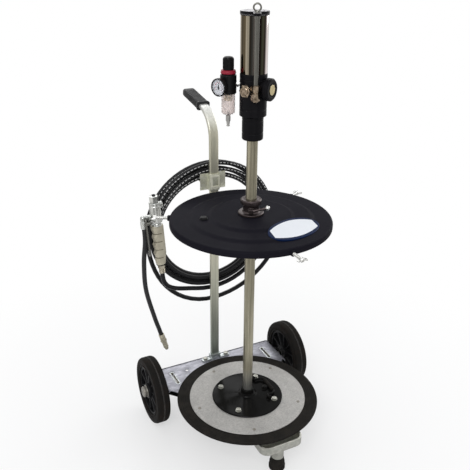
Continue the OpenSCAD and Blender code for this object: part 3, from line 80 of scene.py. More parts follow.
def makeCamera():
    data = bpy.data.cameras.new("camera")
    data.lens = view["lens"]
    data.sensor_width = 36
    cam = bpy.data.objects.new("camera", data)
    cam.rotation_mode = "QUATERNION"
    cam.location = view["place"]
    cam.rotation_quaternion = view["turn"]
    bpy.context.collection.objects.link(cam)
    bpy.context.scene.camera = cam


def areaLamp(name, place, aim, size, power):
    data = bpy.data.lights.new(name, "AREA")
    data.energy = power
    data.size = size
    lamp = bpy.data.objects.new(name, data)
    lamp.location = place
    lamp.rotation_euler = (Vector(aim) - Vector(place)).to_track_quat("-Z", "Y").to_euler()
    bpy.context.collection.objects.link(lamp)


def makeStudio():
    world = bpy.data.worlds.new("studio")
    bpy.context.scene.world = world
    world.use_nodes = True
    tree = world.node_tree
    tree.nodes.clear()
    node = tree.nodes.new
    link = tree.links.new
    out = node("ShaderNodeOutputWorld")
    path = node("ShaderNodeLightPath")
    seen = node("ShaderNodeBackground")
    seen.inputs[0].default_value = (1, 1, 1, 1)
    fill = setInputs(node("ShaderNodeBackground"), {0: (0.97, 0.98, 1, 1), 1: view["skyLight"]})
    # what shining metal sees: a white room with darker panels round it
    coord = node("ShaderNodeTexCoord")
    parts = node("ShaderNodeSeparateXYZ")
    bearing = node("ShaderNodeMath")
    bearing.operation = "ARCTAN2"
    panel = setInputs(node("ShaderNodeMapRange"), {"From Min": -math.pi, "From Max": math.pi})
    ramp = node("ShaderNodeValToRGB")
    ramp.color_ramp.interpolation = "EASE"
    stops = [(0.0, 0.55), (0.06, 0.9), (0.13, 0.2), (0.18, 0.7), (0.25, 0.85), (0.29, 0.12),
             (0.33, 0.45), (0.38, 0.85), (0.44, 0.3), (0.55, 0.9), (0.66, 0.35), (0.76, 0.95),
             (0.86, 0.25), (0.93, 0.85)]
    elements = ramp.color_ramp.elements
    elements[0].position, elements[1].position = stops[0][0], stops[-1][0]
    for spot, level in stops[1:-1]:
        elements.new(spot)
    for element, (spot, level) in zip(elements, stops):
        element.position = spot
        element.color = (level, level * 0.985, level * 0.96, 1)
    height = setInputs(node("ShaderNodeMapRange"), {"From Min": 0.25, "From Max": 0.75})
    blend = node("ShaderNodeMix")
    blend.data_type = "RGBA"
    blend.inputs[7].default_value = (0.95, 0.96, 0.97, 1)
    room = node("ShaderNodeBackground")
    link(coord.outputs["Generated"], parts.inputs[0])
    link(parts.outputs[1], bearing.inputs[0])
    link(parts.outputs[0], bearing.inputs[1])
    link(bearing.outputs[0], panel.inputs["Value"])
    link(panel.outputs[0], ramp.inputs[0])
    link(parts.outputs[2], height.inputs["Value"])
    link(height.outputs[0], blend.inputs[0])
    link(ramp.outputs[0], blend.inputs[6])
    link(blend.outputs[2], room.inputs[0])
    first = node("ShaderNodeMixShader")
    second = node("ShaderNodeMixShader")
    either = node("ShaderNodeMath")
    either.operation = "MAXIMUM"
    link(path.outputs["Is Camera Ray"], either.inputs[0])
    link(path.outputs["Is Transmission Ray"], either.inputs[1])
    link(path.outputs["Is Glossy Ray"], first.inputs[0])
    link(fill.outputs[0], first.inputs[1])
    link(room.outputs[0], first.inputs[2])
    link(either.outputs[0], second.inputs[0])
    link(first.outputs[0], second.inputs[1])
    link(seen.outputs[0], second.inputs[2])
    link(second.outputs[0], out.inputs[0])
    areaLamp("keyLamp", (-1.6, -1.9, 2.6), (0, 0, 0.5), 1.6, 34)
    areaLamp("sideLamp", (2.35, 0.75, 1.7), (0, 0, 0.5), 1.6, 17)
    areaLamp("backLamp", (0.4, 2.3, 2.4), (0, 0, 0.6), 1.8, 18)


def makeFloor():
    bm = bmesh.new()
    bmesh.ops.create_circle(bm, cap_ends=True, segments=96, radius=7)
    mesh = bpy.data.meshes.new("floor")
    bm.to_mesh(mesh)
    bm.free()
    floor = bpy.data.objects.new("floor", mesh)
    bpy.context.collection.objects.link(floor)
    mat = bpy.data.materials.new("floorPaint")
    mat.use_nodes = True
    tree = mat.node_tree
    node = tree.nodes.new
    link = tree.links.new
    level = view["floor"]
    base = setInputs(tree.nodes["Principled BSDF"], {
        "Base Color": (level, level, level, 1), "Roughness": 0.9, "Specular IOR Level": 0.1,
    })
    glow = node("ShaderNodeEmission")
    coord = node("ShaderNodeTexCoord")
    far = node("ShaderNodeVectorMath")
    far.operation = "LENGTH"
    reach = setInputs(node("ShaderNodeMapRange"), {"From Min": 0.3, "From Max": 1.1, "To Min": 0.55})
    path = node("ShaderNodeLightPath")
    seen = node("ShaderNodeMath")
    seen.operation = "MULTIPLY"
    mix = node("ShaderNodeMixShader")
    link(coord.outputs["Object"], far.inputs[0])
    link(far.outputs["Value"], reach.inputs["Value"])
    link(reach.outputs[0], seen.inputs[0])
    link(path.outputs["Is Camera Ray"], seen.inputs[1])
    link(seen.outputs[0], mix.inputs[0])
    link(base.outputs[0], mix.inputs[1])
    link(glow.outputs[0], mix.inputs[2])
    # shining pieces see the room past the floor's near part
    clear = node("ShaderNodeBsdfTransparent")
    past = node("ShaderNodeMath")
    past.operation = "MULTIPLY"
    reachFar = setInputs(node("ShaderNodeMapRange"), {"From Min": 0.7, "From Max": 1.3})
    final = node("ShaderNodeMixShader")
    link(far.outputs["Value"], reachFar.inputs["Value"])
    link(reachFar.outputs[0], past.inputs[0])
    link(path.outputs["Is Glossy Ray"], past.inputs[1])
    link(past.outputs[0], final.inputs[0])
    link(mix.outputs[0], final.inputs[1])
    link(clear.outputs[0], final.inputs[2])
    link(final.outputs[0], tree.nodes["Material Output"].inputs[0])
    mesh.materials.append(mat)


makeCamera()
makeStudio()
makeFloor()
bpy.context.scene.view_settings.view_transform = "Standard"
print("camera, lamps and floor made")

# Finishes: each has a tone that varies, a roughness that varies and a fine relief


def stepped(stops, tree):
    # ramp with a stop for each (place, colour)
    ramp = tree.nodes.new("ShaderNodeValToRGB")
    elements = ramp.color_ramp.elements
    elements[0].position = stops[0][0]
    elements[1].position = stops[-1][0]
    for spot, shade in stops[1:-1]:
        elements.new(spot)
    for element, (spot, shade) in zip(elements, stops):
        element.position = spot
        element.color = (*shade, 1)
    return ramp


def surface(name, tone, second=None, rough=(0.4, 0.55), metal=0.0, mottle=(9, 0.5), grain=(900, 0.08),
            stretch=(1, 1, 1), relief=0.12, ior=1.5, wear=None, cells=None, glass=0.0,
            dust=None, shine=0.5, reflectionBands=None, fade=()):
    mat = bpy.data.materials.new(name)
    mat.use_nodes = True
    tree = mat.node_tree
    node = tree.nodes.new
    link = tree.links.new
    base = setInputs(tree.nodes["Principled BSDF"], {
        "Metallic": metal, "IOR": ior, "Specular IOR Level": shine, "Transmission Weight": glass,
    })
    second = second or tuple(c * 0.72 for c in tone)
    coord = node("ShaderNodeTexCoord")
    place = setInputs(node("ShaderNodeMapping"), {"Scale": stretch})
    link(coord.outputs["Object"], place.inputs[0])

    def noise(scale, detail=4, rough=0.6):
        n = setInputs(node("ShaderNodeTexNoise"), {"Scale": scale, "Detail": detail, "Roughness": rough})
        link(place.outputs[0], n.inputs["Vector"])
        return n.outputs[0]

    def spread(value, low, high, toLow=0.0, toHigh=1.0):
        m = setInputs(node("ShaderNodeMapRange"), {
            "From Min": low, "From Max": high, "To Min": toLow, "To Max": toHigh,
        })
        link(value, m.inputs["Value"])
        return m.outputs[0]

    def mixed(amount, a, b, kind="MIX"):
        m = node("ShaderNodeMix")
        m.data_type = "RGBA"
        m.blend_type = kind
        for socket, value in ((0, amount), (6, a), (7, b)):
            if isinstance(value, (int, float)):
                m.inputs[socket].default_value = value
            elif isinstance(value, tuple):
                m.inputs[socket].default_value = (*value, 1)
            else:
                link(value, m.inputs[socket])
        return m.outputs[2]

    large = noise(mottle[0])
    fine = noise(grain[0], 2)
    half = mottle[1] / 2
    colour = mixed(spread(large, 0.25, 0.75, 0.5 - half, 0.5 + half), tone, second)
    colour = mixed(grain[1], colour, fine, "OVERLAY")
    if cells:
        # flower-like crystals of the zinc
        v = setInputs(node("ShaderNodeTexVoronoi"), {"Scale": cells[0]})
        link(place.outputs[0], v.inputs["Vector"])
        tint = node("ShaderNodeSeparateColor")
        link(v.outputs["Color"], tint.inputs[0])
        colour = mixed(cells[1], colour, tint.outputs[0], "OVERLAY")
    if reflectionBands or fade:
        parts = node("ShaderNodeSeparateXYZ")
        link(coord.outputs["Object"], parts.inputs[0])
    if reflectionBands:
        # painted reflections: upright bands of light and dark by the bearing from the pump's axis
        forward = node("ShaderNodeMath")
        forward.inputs[1].default_value = -axisY
        link(parts.outputs[1], forward.inputs[0])
        bearing = node("ShaderNodeMath")
        bearing.operation = "ARCTAN2"
        link(forward.outputs[0], bearing.inputs[0])
        link(parts.outputs[0], bearing.inputs[1])
        tint = stepped([(0.5 + degrees / 360, shade) for degrees, shade in reflectionBands], tree)
        link(spread(bearing.outputs[0], -math.pi, math.pi), tint.inputs[0])
        colour = mixed(1.0, colour, tint.outputs[0], "MULTIPLY")
    for full, none, tint in fade:
        # tinted up or down the piece, from full strength at one height to none at the other
        colour = mixed(spread(parts.outputs[2], full, none, 1, 0), colour, tint, "MULTIPLY")
    if dust:
        cloud = noise(dust[2], 6, 0.7)
        colour = mixed(spread(cloud, 0.45, 0.75, 0, dust[1]), colour, dust[0])
    if wear:
        # rubbed edges, found by how much a rounded normal leans from the flat one
        edge = node("ShaderNodeBevel")
        edge.samples = 4
        edge.inputs["Radius"].default_value = wear[2]
        shape = node("ShaderNodeNewGeometry")
        lean = node("ShaderNodeVectorMath")
        lean.operation = "DOT_PRODUCT"
        link(edge.outputs[0], lean.inputs[0])
        link(shape.outputs["Normal"], lean.inputs[1])
        worn = node("ShaderNodeMath")
        worn.operation = "MULTIPLY"
        link(spread(lean.outputs["Value"], 0.99, 0.8, 0, wear[1]), worn.inputs[0])
        link(spread(noise(60, 5), 0.42, 0.6), worn.inputs[1])
        colour = mixed(worn.outputs[0], colour, wear[0])
    link(colour, base.inputs["Base Color"])
    link(spread(large, 0.3, 0.7, rough[0], rough[1]), base.inputs["Roughness"])
    bump = setInputs(node("ShaderNodeBump"), {"Strength": relief, "Distance": 0.0004})
    link(fine, bump.inputs["Height"])
    link(bump.outputs[0], base.inputs["Normal"])
    return mat


zinc = surface("zincPlate", (0.52, 0.51, 0.46), (0.36, 0.365, 0.33), (0.34, 0.52), 0.9, (14, 0.7),
               (700, 0.1), relief=0.1, cells=(160, 0.12))
brightZinc = surface("brightZinc", (0.85, 0.85, 0.83), (0.6, 0.6, 0.58), (0.2, 0.34), 0.9, (60, 0.7),
                     (900, 0.08), relief=0.08)
paleZinc = surface("paleZinc", (0.8, 0.79, 0.66), (0.5, 0.51, 0.4), (0.4, 0.56), 0.6, (55, 0.9),
                   (900, 0.14), relief=0.14, cells=(260, 0.2))
# paler zinc for the frame on the bracket's front: a painted highlight
frameHighlightZinc = surface("frameHighlightZinc", (0.92, 0.9, 0.76), (0.72, 0.71, 0.58), (0.45, 0.6), 0.3, (70, 0.9),
                    (900, 0.12), relief=0.12)
blueZinc = surface("blueZinc", (0.66, 0.69, 0.69), (0.34, 0.37, 0.37), (0.26, 0.42), 0.8, (70, 1.0),
                   (900, 0.14), relief=0.14, cells=(260, 0.2))
deckZinc = surface("rolledZinc", (0.42, 0.42, 0.46), (0.31, 0.31, 0.35), (0.36, 0.6), 0.7, (30, 0.7),
                   (1300, 0.2), (1, 2.2, 1), 0.14, cells=(95, 0.14))
# darker and bluer towards the foot; lighter near the bend at the top, a painted highlight
upTubeZinc = surface("uprightZinc", (0.84, 0.81, 0.65), (0.56, 0.55, 0.44), (0.3, 0.46), 0.75, (6, 0.9),
                     (420, 0.12), (30, 30, 0.7), 0.08,
                     fade=((0.16, 0.5, (0.47, 0.53, 0.58)), (0.89, 0.83, (1.12, 1.15, 1.38))))
suctionZinc = surface("suctionZinc", (0.5, 0.465, 0.35), (0.2, 0.185, 0.135), (0.22, 0.42), 0.9, (8, 0.9),
                      (500, 0.14), (30, 30, 0.7), 0.09, fade=((0.15, 0.215, (1.4, 1.5, 1.9)),))
discZinc = surface("discZinc", (0.47, 0.46, 0.44), (0.38, 0.37, 0.355), (0.5, 0.66), 0.55, (30, 0.6),
                   (900, 0.16), relief=0.12, cells=(420, 0.14))
steelTurned = surface("turnedSteel", (0.6, 0.59, 0.57), (0.42, 0.41, 0.39), (0.25, 0.4), 1.0, (40, 0.5),
                      (1500, 0.1), relief=0.06)
rivetSteel = surface("rivetSteel", (0.36, 0.34, 0.3), (0.2, 0.19, 0.17), (0.3, 0.45), 0.9, (200, 0.8),
                     (1500, 0.1), relief=0.1)
greySteel = surface("greySteel", (0.24, 0.235, 0.215), (0.14, 0.138, 0.125), (0.2, 0.36), 0.95, (9, 0.8),
                    (900, 0.08), (22, 22, 1), 0.05)
# painted reflections round the chrome cylinder: shades by bearing in degrees, light and dark bands of the
# room and a bright band for a lamp
motorReflectionBands = (
    (-180, (0.21, 0.17, 0.11)), (-168, (0.2, 0.16, 0.105)), (-163, (0.11, 0.088, 0.055)),
    (-157, (0.13, 0.105, 0.065)), (-153, (0.45, 0.4, 0.32)), (-142, (0.42, 0.38, 0.3)),
    (-138, (0.03, 0.025, 0.02)), (-131, (0.035, 0.03, 0.025)), (-127, (0.15, 0.15, 0.14)),
    (-108, (0.26, 0.2, 0.18)), (-101, (0.3, 0.22, 0.2)), (-98, (0.03, 0.02, 0.016)),
    (-91, (0.03, 0.02, 0.016)), (-87, (0.055, 0.06, 0.04)), (-68, (0.06, 0.045, 0.035)),
    (-63, (0.8, 0.72, 0.72)), (-42, (0.85, 0.8, 0.8)), (-25, (0.3, 0.26, 0.22)), (0, (0.08, 0.07, 0.06)),
    (20, (0.5, 0.47, 0.42)), (45, (0.12, 0.1, 0.08)), (70, (0.6, 0.56, 0.5)), (95, (0.1, 0.085, 0.07)),
    (120, (0.4, 0.36, 0.3)), (145, (0.22, 0.18, 0.12)), (180, (0.21, 0.17, 0.11)),
)
chromeTube = surface("chromeTube", (0.98, 0.97, 0.95), (0.85, 0.84, 0.82), (0.1, 0.16), 1.0, (11, 0.5),
                     (900, 0.03), (1, 1, 0.2), 0.015, reflectionBands=motorReflectionBands)
satinCap = surface("satinCap", (0.62, 0.61, 0.63), (0.5, 0.49, 0.5), (0.4, 0.55), 0.5, (40, 0.6),
                   (1200, 0.1), relief=0.06)
nickelPlate = surface("nickelPlate", (0.62, 0.57, 0.46), (0.42, 0.38, 0.3), (0.2, 0.36), 1.0, (60, 0.6),
                      (900, 0.08), relief=0.06)
bronzedNickel = surface("bronzedNickel", (0.56, 0.45, 0.34), (0.13, 0.1, 0.07), (0.08, 0.22), 1.0,
                        (130, 1.3), (900, 0.08), relief=0.06)
polishedAlloy = surface("polishedAlloy", (0.82, 0.83, 0.81), (0.36, 0.37, 0.35), (0.16, 0.3), 1.0,
                        (70, 1.0), (900, 0.08), relief=0.1)
blackAnodised = surface("blackAnodised", (0.0075, 0.007, 0.0085), (0.005, 0.005, 0.006), (0.3, 0.46), 0.0,
                        (12, 0.8), (1800, 0.1), relief=0.1, wear=((0.2, 0.19, 0.18), 0.3, 0.0005),
                        shine=0.08)
blackPaint = surface("blackPaint", (0.0085, 0.008, 0.0078), (0.005, 0.005, 0.0045), (0.22, 0.36), 0.0,
                     (22, 0.8), (700, 0.1), relief=0.2, wear=((0.25, 0.24, 0.22), 0.4, 0.0006), shine=0.07)
glossPaint = surface("glossPaint", (0.0085, 0.0082, 0.008), (0.005, 0.005, 0.0045), (0.1, 0.2), 0.0,
                     (22, 0.8), (700, 0.1), relief=0.05, wear=((0.25, 0.24, 0.22), 0.4, 0.0006), shine=0.06)
lidPaint = surface("lidPaint", (0.0115, 0.011, 0.016), (0.0085, 0.008, 0.012), (0.5, 0.6), 0.0, (6, 0.7),
                   (520, 0.06), relief=0.1, shine=0.03)
blackRubber = surface("blackRubber", (0.0115, 0.0108, 0.0098), (0.0155, 0.014, 0.012), (0.6, 0.8), 0.0,
                      (40, 0.9), (900, 0.12), relief=0.4, dust=((0.07, 0.058, 0.046), 0.22, 26), shine=0.08)
tyreRubber = surface("tyreRubber", (0.012, 0.011, 0.01), (0.008, 0.0076, 0.0072), (0.55, 0.78), 0.0,
                     (24, 0.9), (1000, 0.12), relief=0.4, dust=((0.07, 0.045, 0.032), 0.22, 24), shine=0.07)
mouldLine = surface("mouldLine", (0.15, 0.145, 0.14), (0.05, 0.048, 0.045), (0.5, 0.7), 0.0, (30, 1.0),
                    (900, 0.12), relief=0.3, shine=0.2)
rimPlastic = surface("rimPlastic", (0.009, 0.009, 0.01), (0.006, 0.006, 0.0065), (0.36, 0.5), 0.0,
                     (30, 0.6), (900, 0.08), relief=0.2, shine=0.15)
gripPlastic = surface("gripPlastic", (0.029, 0.029, 0.03), (0.019, 0.019, 0.02), (0.46, 0.6), 0.0,
                      (40, 0.6), (1400, 0.12), relief=0.5, shine=0.2)
glossPlastic = surface("glossPlastic", (0.009, 0.0085, 0.009), (0.006, 0.006, 0.006), (0.2, 0.34), 0.0,
                       (20, 0.6), (1200, 0.05), relief=0.08, shine=0.14)
crimson = surface("crimsonPlastic", (0.34, 0.012, 0.035), (0.24, 0.008, 0.025), (0.28, 0.4), 0.0, (60, 0.6),
                  (900, 0.06), relief=0.05, shine=0.35)
castDark = surface("castDark", (0.1, 0.08, 0.08), (0.04, 0.03, 0.03), (0.24, 0.42), 0.8, (30, 0.8),
                   (800, 0.15), relief=0.3)
sinter = surface("sinteredBrass", (0.78, 0.68, 0.42), (0.5, 0.42, 0.22), (0.45, 0.6), 0.7, (200, 0.8),
                 (2600, 0.35), relief=0.9)
gunAlloy = surface("gunAlloy", (0.6, 0.56, 0.44), (0.42, 0.385, 0.3), (0.4, 0.55), 0.35, (26, 0.8),
                   (900, 0.12), relief=0.25, dust=((0.2, 0.18, 0.13), 0.4, 40))
# darker copy of the gun's alloy: painted shade for the grip's grooves
paintedGrooveShade = surface("paintedGrooveShade", (0.2, 0.18, 0.13), (0.13, 0.115, 0.08), (0.5, 0.65), 0.3, (60, 0.8),
                   (900, 0.12), relief=0.25)
dialWhite = surface("dialWhite", (0.76, 0.76, 0.79), (0.68, 0.68, 0.71), (0.4, 0.5), 0.0, (60, 0.4),
                    (900, 0.03), relief=0.02)
inkBlack = surface("inkBlack", (0.02, 0.02, 0.022), (0.03, 0.03, 0.032), (0.4, 0.5), 0.0, (60, 0.4),
                   (900, 0.05), relief=0.02, shine=0.2)
plateWhite = surface("plateWhite", (0.86, 0.89, 0.93), (0.8, 0.83, 0.88), (0.3, 0.4), 0.0, (20, 0.5),
                     (900, 0.04), relief=0.04)
plateBlue = surface("plateBlue", (0.003, 0.014, 0.06), (0.002, 0.01, 0.045), (0.3, 0.4), 0.0, (20, 0.5),
                    (900, 0.04), relief=0.04, shine=0.07)
bowlClear = surface("bowlClear", (0.9, 0.84, 0.825), (0.84, 0.78, 0.76), (0.2, 0.28), 0.0, (30, 0.4),
                    (900, 0.02), relief=0.0, ior=1.25, glass=0.8)
lensClear = surface("lensClear", (0.95, 0.96, 0.97), (0.92, 0.93, 0.94), (0.02, 0.05), 0.0, (30, 0.4),
                    (900, 0.0), relief=0.01, ior=1.2, glass=1.0)


cover = {
    "ribsRound": 14, "ribPitch": 0.0035, "ribDepth": 0.0003,
    "lineHalf": 0.026, "dashPitch": 0.011, "dashShare": 0.6, "lineTone": (0.62, 0.62, 0.61),
}


def hoseRubber(name, tone, marked):
    # U goes round the hose and V along it in metres
    mat = surface(name, tone, tuple(c * 1.6 for c in tone), (0.26, 0.42), 0.0, (30, 0.8), (900, 0.06),
                  relief=0.1, shine=0.22)
    tree = mat.node_tree
    node = tree.nodes.new
    link = tree.links.new
    base = tree.nodes["Principled BSDF"]
    coord = node("ShaderNodeTexCoord")
    parts = node("ShaderNodeSeparateXYZ")
    link(coord.outputs["UV"], parts.inputs[0])

    def maths(kind, a, b=0.0):
        m = node("ShaderNodeMath")
        m.operation = kind
        for socket, value in ((0, a), (1, b)):
            if isinstance(value, (int, float)):
                m.inputs[socket].default_value = value
            else:
                link(value, m.inputs[socket])
        return m.outputs[0]

    # woven cover: two crossing sets of fine ribs
    turns = maths("MULTIPLY", parts.outputs[0], cover["ribsRound"] * 2 * math.pi)
    along = maths("MULTIPLY", parts.outputs[1], 2 * math.pi / cover["ribPitch"])
    rising = maths("SINE", maths("ADD", turns, along))
    falling = maths("SINE", maths("SUBTRACT", turns, along))
    ribs = maths("MULTIPLY", rising, falling)
    bump = [n for n in tree.nodes if n.bl_idname == "ShaderNodeBump"][0]
    weave = setInputs(node("ShaderNodeBump"), {"Strength": 0.22, "Distance": cover["ribDepth"]})
    link(ribs, weave.inputs["Height"])
    link(bump.outputs[0], weave.inputs["Normal"])
    link(weave.outputs[0], base.inputs["Normal"])
    if marked:
        # a plain broken line along the cover, which turns away round the lower strands
        spot = node("ShaderNodeSeparateXYZ")
        link(coord.outputs["Object"], spot.inputs[0])
        twist = setInputs(node("ShaderNodeMapRange"), {
            "From Min": 0.42, "From Max": 0.62, "To Min": 0.1, "To Max": 0.53,
        })
        link(spot.outputs[2], twist.inputs["Value"])
        share = maths("FRACT", maths("ADD", maths("SUBTRACT", parts.outputs[0], twist.outputs[0]), 0.5))
        away = maths("ABSOLUTE", maths("SUBTRACT", share, 0.5))
        line = maths("LESS_THAN", away, cover["lineHalf"])
        beat = maths("FRACT", maths("MULTIPLY", parts.outputs[1], 1 / cover["dashPitch"]))
        dash = maths("LESS_THAN", beat, cover["dashShare"])
        speck = [n for n in tree.nodes if n.bl_idname == "ShaderNodeTexNoise"][0]
        rubbed = maths("GREATER_THAN", speck.outputs[0], 0.36)
        mark = maths("MULTIPLY", maths("MULTIPLY", line, dash), rubbed)
        mix = node("ShaderNodeMix")
        mix.data_type = "RGBA"
        link(base.inputs["Base Color"].links[0].from_socket, mix.inputs[6])
        mix.inputs[7].default_value = (*cover["lineTone"], 1)
        link(mark, mix.inputs[0])
        link(mix.outputs[2], base.inputs["Base Color"])
    return mat


coilRubber = hoseRubber("coilRubber", (0.008, 0.008, 0.009), True)
deliveryRubber = hoseRubber("deliveryRubber", (0.02, 0.02, 0.021), False)
print("finishes made:", len(bpy.data.materials))

# Makers of shapes


def filleted(points, closed=False, steps=4):
    # each corner is (x, y) or (x, y, radius)
    out = []
    count = len(points)
    for i, p in enumerate(points):
        corner = Vector(p[:2])
        radius = p[2] if len(p) > 2 else 0
        if radius <= 0 or (not closed and i in (0, count - 1)):
            out.append(corner)
            continue
        before = Vector(points[i - 1][:2]) - corner
        after = Vector(points[(i + 1) % count][:2]) - corner
        half = before.angle(after) / 2
        reach = min(radius / math.tan(half), before.length * 0.49, after.length * 0.49)
        radius = reach * math.tan(half)
        u, v = before.normalized(), after.normalized()
        middle = corner + (u + v).normalized() * (radius / math.sin(half))
        start, end = corner + u * reach - middle, corner + v * reach - middle
        swing = math.atan2(start.cross(end), start.dot(end))
        first = math.atan2(start.y, start.x)
        for k in range(steps + 1):
            a = first + swing * k / steps
            out.append(middle + Vector((math.cos(a), math.sin(a))) * radius)
    return out


def bridge(bm, a, b, mat):
    # faces between two rings; a ring of one point is a pole
    count = max(len(a), len(b))
    for k in range(count):
        n = (k + 1) % count
        quad = [a[k % len(a)], a[n % len(a)], b[n % len(b)], b[k % len(b)]]
        corners = []
        for v in quad:
            if v not in corners:
                corners.append(v)
        if len(corners) > 2:
            bm.faces.new(corners).material_index = mat


def turned(bm, profile, at=None, sides=64, mat=0, closed=False, steps=4):
    # profile of (radius, height[, rounding]) turned about Z
    at = at or Matrix.Identity(4)
    rings = []
    for p in filleted(profile, closed, steps):
        if abs(p.x) < 1e-6:
            rings.append([bm.verts.new(at @ Vector((0, 0, p.y)))])
            continue
        rings.append([bm.verts.new(at @ Vector((p.x * math.cos(a), p.x * math.sin(a), p.y)))
                      for a in (2 * math.pi * k / sides for k in range(sides))])
    pairs = list(zip(rings, rings[1:]))
    if closed:
        pairs.append((rings[-1], rings[0]))
    for a, b in pairs:
        bridge(bm, a, b, mat)


def loftedRings(bm, rings):
    # rings of points joined, with flat ends
    made = [[bm.verts.new(p) for p in ring] for ring in rings]
    for a, b in zip(made, made[1:]):
        bridge(bm, a, b, 0)
    for ring in (made[0], made[-1]):
        bm.faces.new(ring)


def hexagon(bm, across, low, high, at=None, mat=0, hole=0, sides=72, crown=0.93):
    # hexagon with turned-down corners
    at = at or Matrix.Identity(4)
    flat = across / 2

    def reach(a):
        lean = a % (math.pi / 3) - math.pi / 6
        return flat / math.cos(lean)

    rings = []
    corner = [2 * math.pi * k / sides for k in range(sides)]
    inner = hole / 2
    levels = [(low, -1), (high, 1)]
    for z, side in levels:
        face = [Vector((flat * crown * math.cos(a), flat * crown * math.sin(a), z)) for a in corner]
        edge = [Vector((reach(a) * math.cos(a), reach(a) * math.sin(a),
                        z - side * (reach(a) - flat * crown) * 0.5)) for a in corner]
        rings += [face, edge] if side < 0 else [edge, face]
    made = [[bm.verts.new(at @ p) for p in ring] for ring in rings]
    if inner:
        for z in (high, low):
            made.append([bm.verts.new(at @ Vector((inner * math.cos(a), inner * math.sin(a), z)))
                         for a in corner])
        pairs = list(zip(made, made[1:])) + [(made[-1], made[0])]
    else:
        made.insert(0, [bm.verts.new(at @ Vector((0, 0, low)))])
        made.append([bm.verts.new(at @ Vector((0, 0, high)))])
        pairs = list(zip(made, made[1:]))
    for a, b in pairs:
        bridge(bm, a, b, mat)


def circlePoints(radius, x=0, y=0, sides=32, start=0, end=360):
    full = end - start >= 360
    count = sides if full else sides + 1
    return [(x + radius * math.cos(math.radians(start + (end - start) * k / sides)),
             y + radius * math.sin(math.radians(start + (end - start) * k / sides))) for k in range(count)]


def roundedBox(w, h, r, x=0, y=0):
    return [(x + sx * w / 2, y + sy * h / 2, r) for sx, sy in ((-1, -1), (1, -1), (1, 1), (-1, 1))]


def groove(r, z, deep, lead, width, outer=0, inner=0.3):
    # points of a turned groove that starts at this height, in a wall of this radius
    return [(r, z, outer), (r - deep, z + lead, inner), (r - deep, z + lead + width, inner),
            (r, z + 2 * lead + width, outer)]


def roundedHole(w, h, r, x=0, y=0, steps=4):
    return [tuple(p) for p in filleted(roundedBox(w, h, r, x, y), True, steps)]


def bandPoints(outer, inner, sides, start, end):
    # part of a flat ring, between two bearings in degrees
    return (circlePoints(outer, 0, 0, sides, start, end)
            + list(reversed(circlePoints(inner, 0, 0, sides, start, end))))


def beadPoints(radius, height, wide, tall):
    # profile of a raised bead that runs round at this radius
    return [(radius + wide * math.cos(a), height + tall * math.sin(a))
            for a in (2 * math.pi * k / 12 for k in range(12))]


def slotPoints(length, width, x=0, y=0):
    r = width / 2
    top = circlePoints(r, x, y + length / 2 - r, 12, 0, 180)
    return top + circlePoints(r, x, y - length / 2 + r, 12, 180, 360)


def plate(bm, outline, low, high, holes=(), at=None, bevel=0.4, mat=0, steps=6):
    # flat outline with holes, given a thickness and softened edges
    at = at or Matrix.Identity(4)
    part = bmesh.new()
    edges = []
    for loop in [filleted(outline, True, steps)] + [[Vector(p[:2]) for p in h] for h in holes]:
        verts = [part.verts.new((p[0], p[1], low)) for p in loop]
        edges += [part.edges.new((verts[k - 1], verts[k])) for k in range(len(verts))]
    bmesh.ops.triangle_fill(part, use_beauty=True, use_dissolve=True, edges=edges, normal=(0, 0, 1))
    grown = bmesh.ops.extrude_face_region(part, geom=list(part.faces))
    bmesh.ops.translate(part, vec=(0, 0, high - low),
                        verts=[v for v in grown["geom"] if isinstance(v, bmesh.types.BMVert)])
    bmesh.ops.recalc_face_normals(part, faces=part.faces)
    if bevel:
        rims = [e for e in part.edges if len(e.link_faces) == 2
                and {round(abs(f.normal.z)) for f in e.link_faces} == {0, 1}]
        bmesh.ops.bevel(part, geom=rims, offset=bevel, segments=2, profile=0.5, affect="EDGES",
                        clamp_overlap=True)
    join(bm, part, at, mat)


def block(bm, low, high, bevel=0.5, at=None):
    at = at or Matrix.Identity(4)
    part = bmesh.new()
    bmesh.ops.create_cube(part, size=1)
    size = Vector(high) - Vector(low)
    middle = (Vector(high) + Vector(low)) / 2
    for v in part.verts:
        v.co = Vector((v.co.x * size.x, v.co.y * size.y, v.co.z * size.z)) + middle
    if bevel:
        bmesh.ops.bevel(part, geom=list(part.edges), offset=bevel, segments=3, profile=0.5, affect="EDGES")
    join(bm, part, at)


def join(bm, part, at=None, mat=0):
    # adds one shape to another
    if at:
        part.transform(at)
    for f in part.faces:
        f.material_index = mat
    mesh = bpy.data.meshes.new("part")
    part.to_mesh(mesh)
    part.free()
    bm.from_mesh(mesh)
    bpy.data.meshes.remove(mesh)


def sweep(bm, path, section, at=None, up=(0, 1, 0), caps=True):
    # section(k) gives the outline, as (side, rise) pairs, at the k-th point of the path
    at = at or Matrix.Identity(4)
    path = [Vector(p) for p in path]
    rings = []
    count = len(path)
    for k, p in enumerate(path):
        way = (path[min(k + 1, count - 1)] - path[max(k - 1, 0)]).normalized()
        side = (Vector(up) - way * way.dot(Vector(up))).normalized()
        rise = way.cross(side)
        rings.append([bm.verts.new(at @ (p + side * s + rise * r)) for s, r in section(k)])
    for a, b in zip(rings, rings[1:]):
        bridge(bm, a, b, 0)
    if caps:
        for ring in (rings[0], rings[-1]):
            bm.faces.new(ring)
    return rings


def disc(radius, sides=24):
    # round outline for a sweep
    points = [(radius * math.cos(2 * math.pi * k / sides), radius * math.sin(2 * math.pi * k / sides))
              for k in range(sides)]
    return lambda k: points


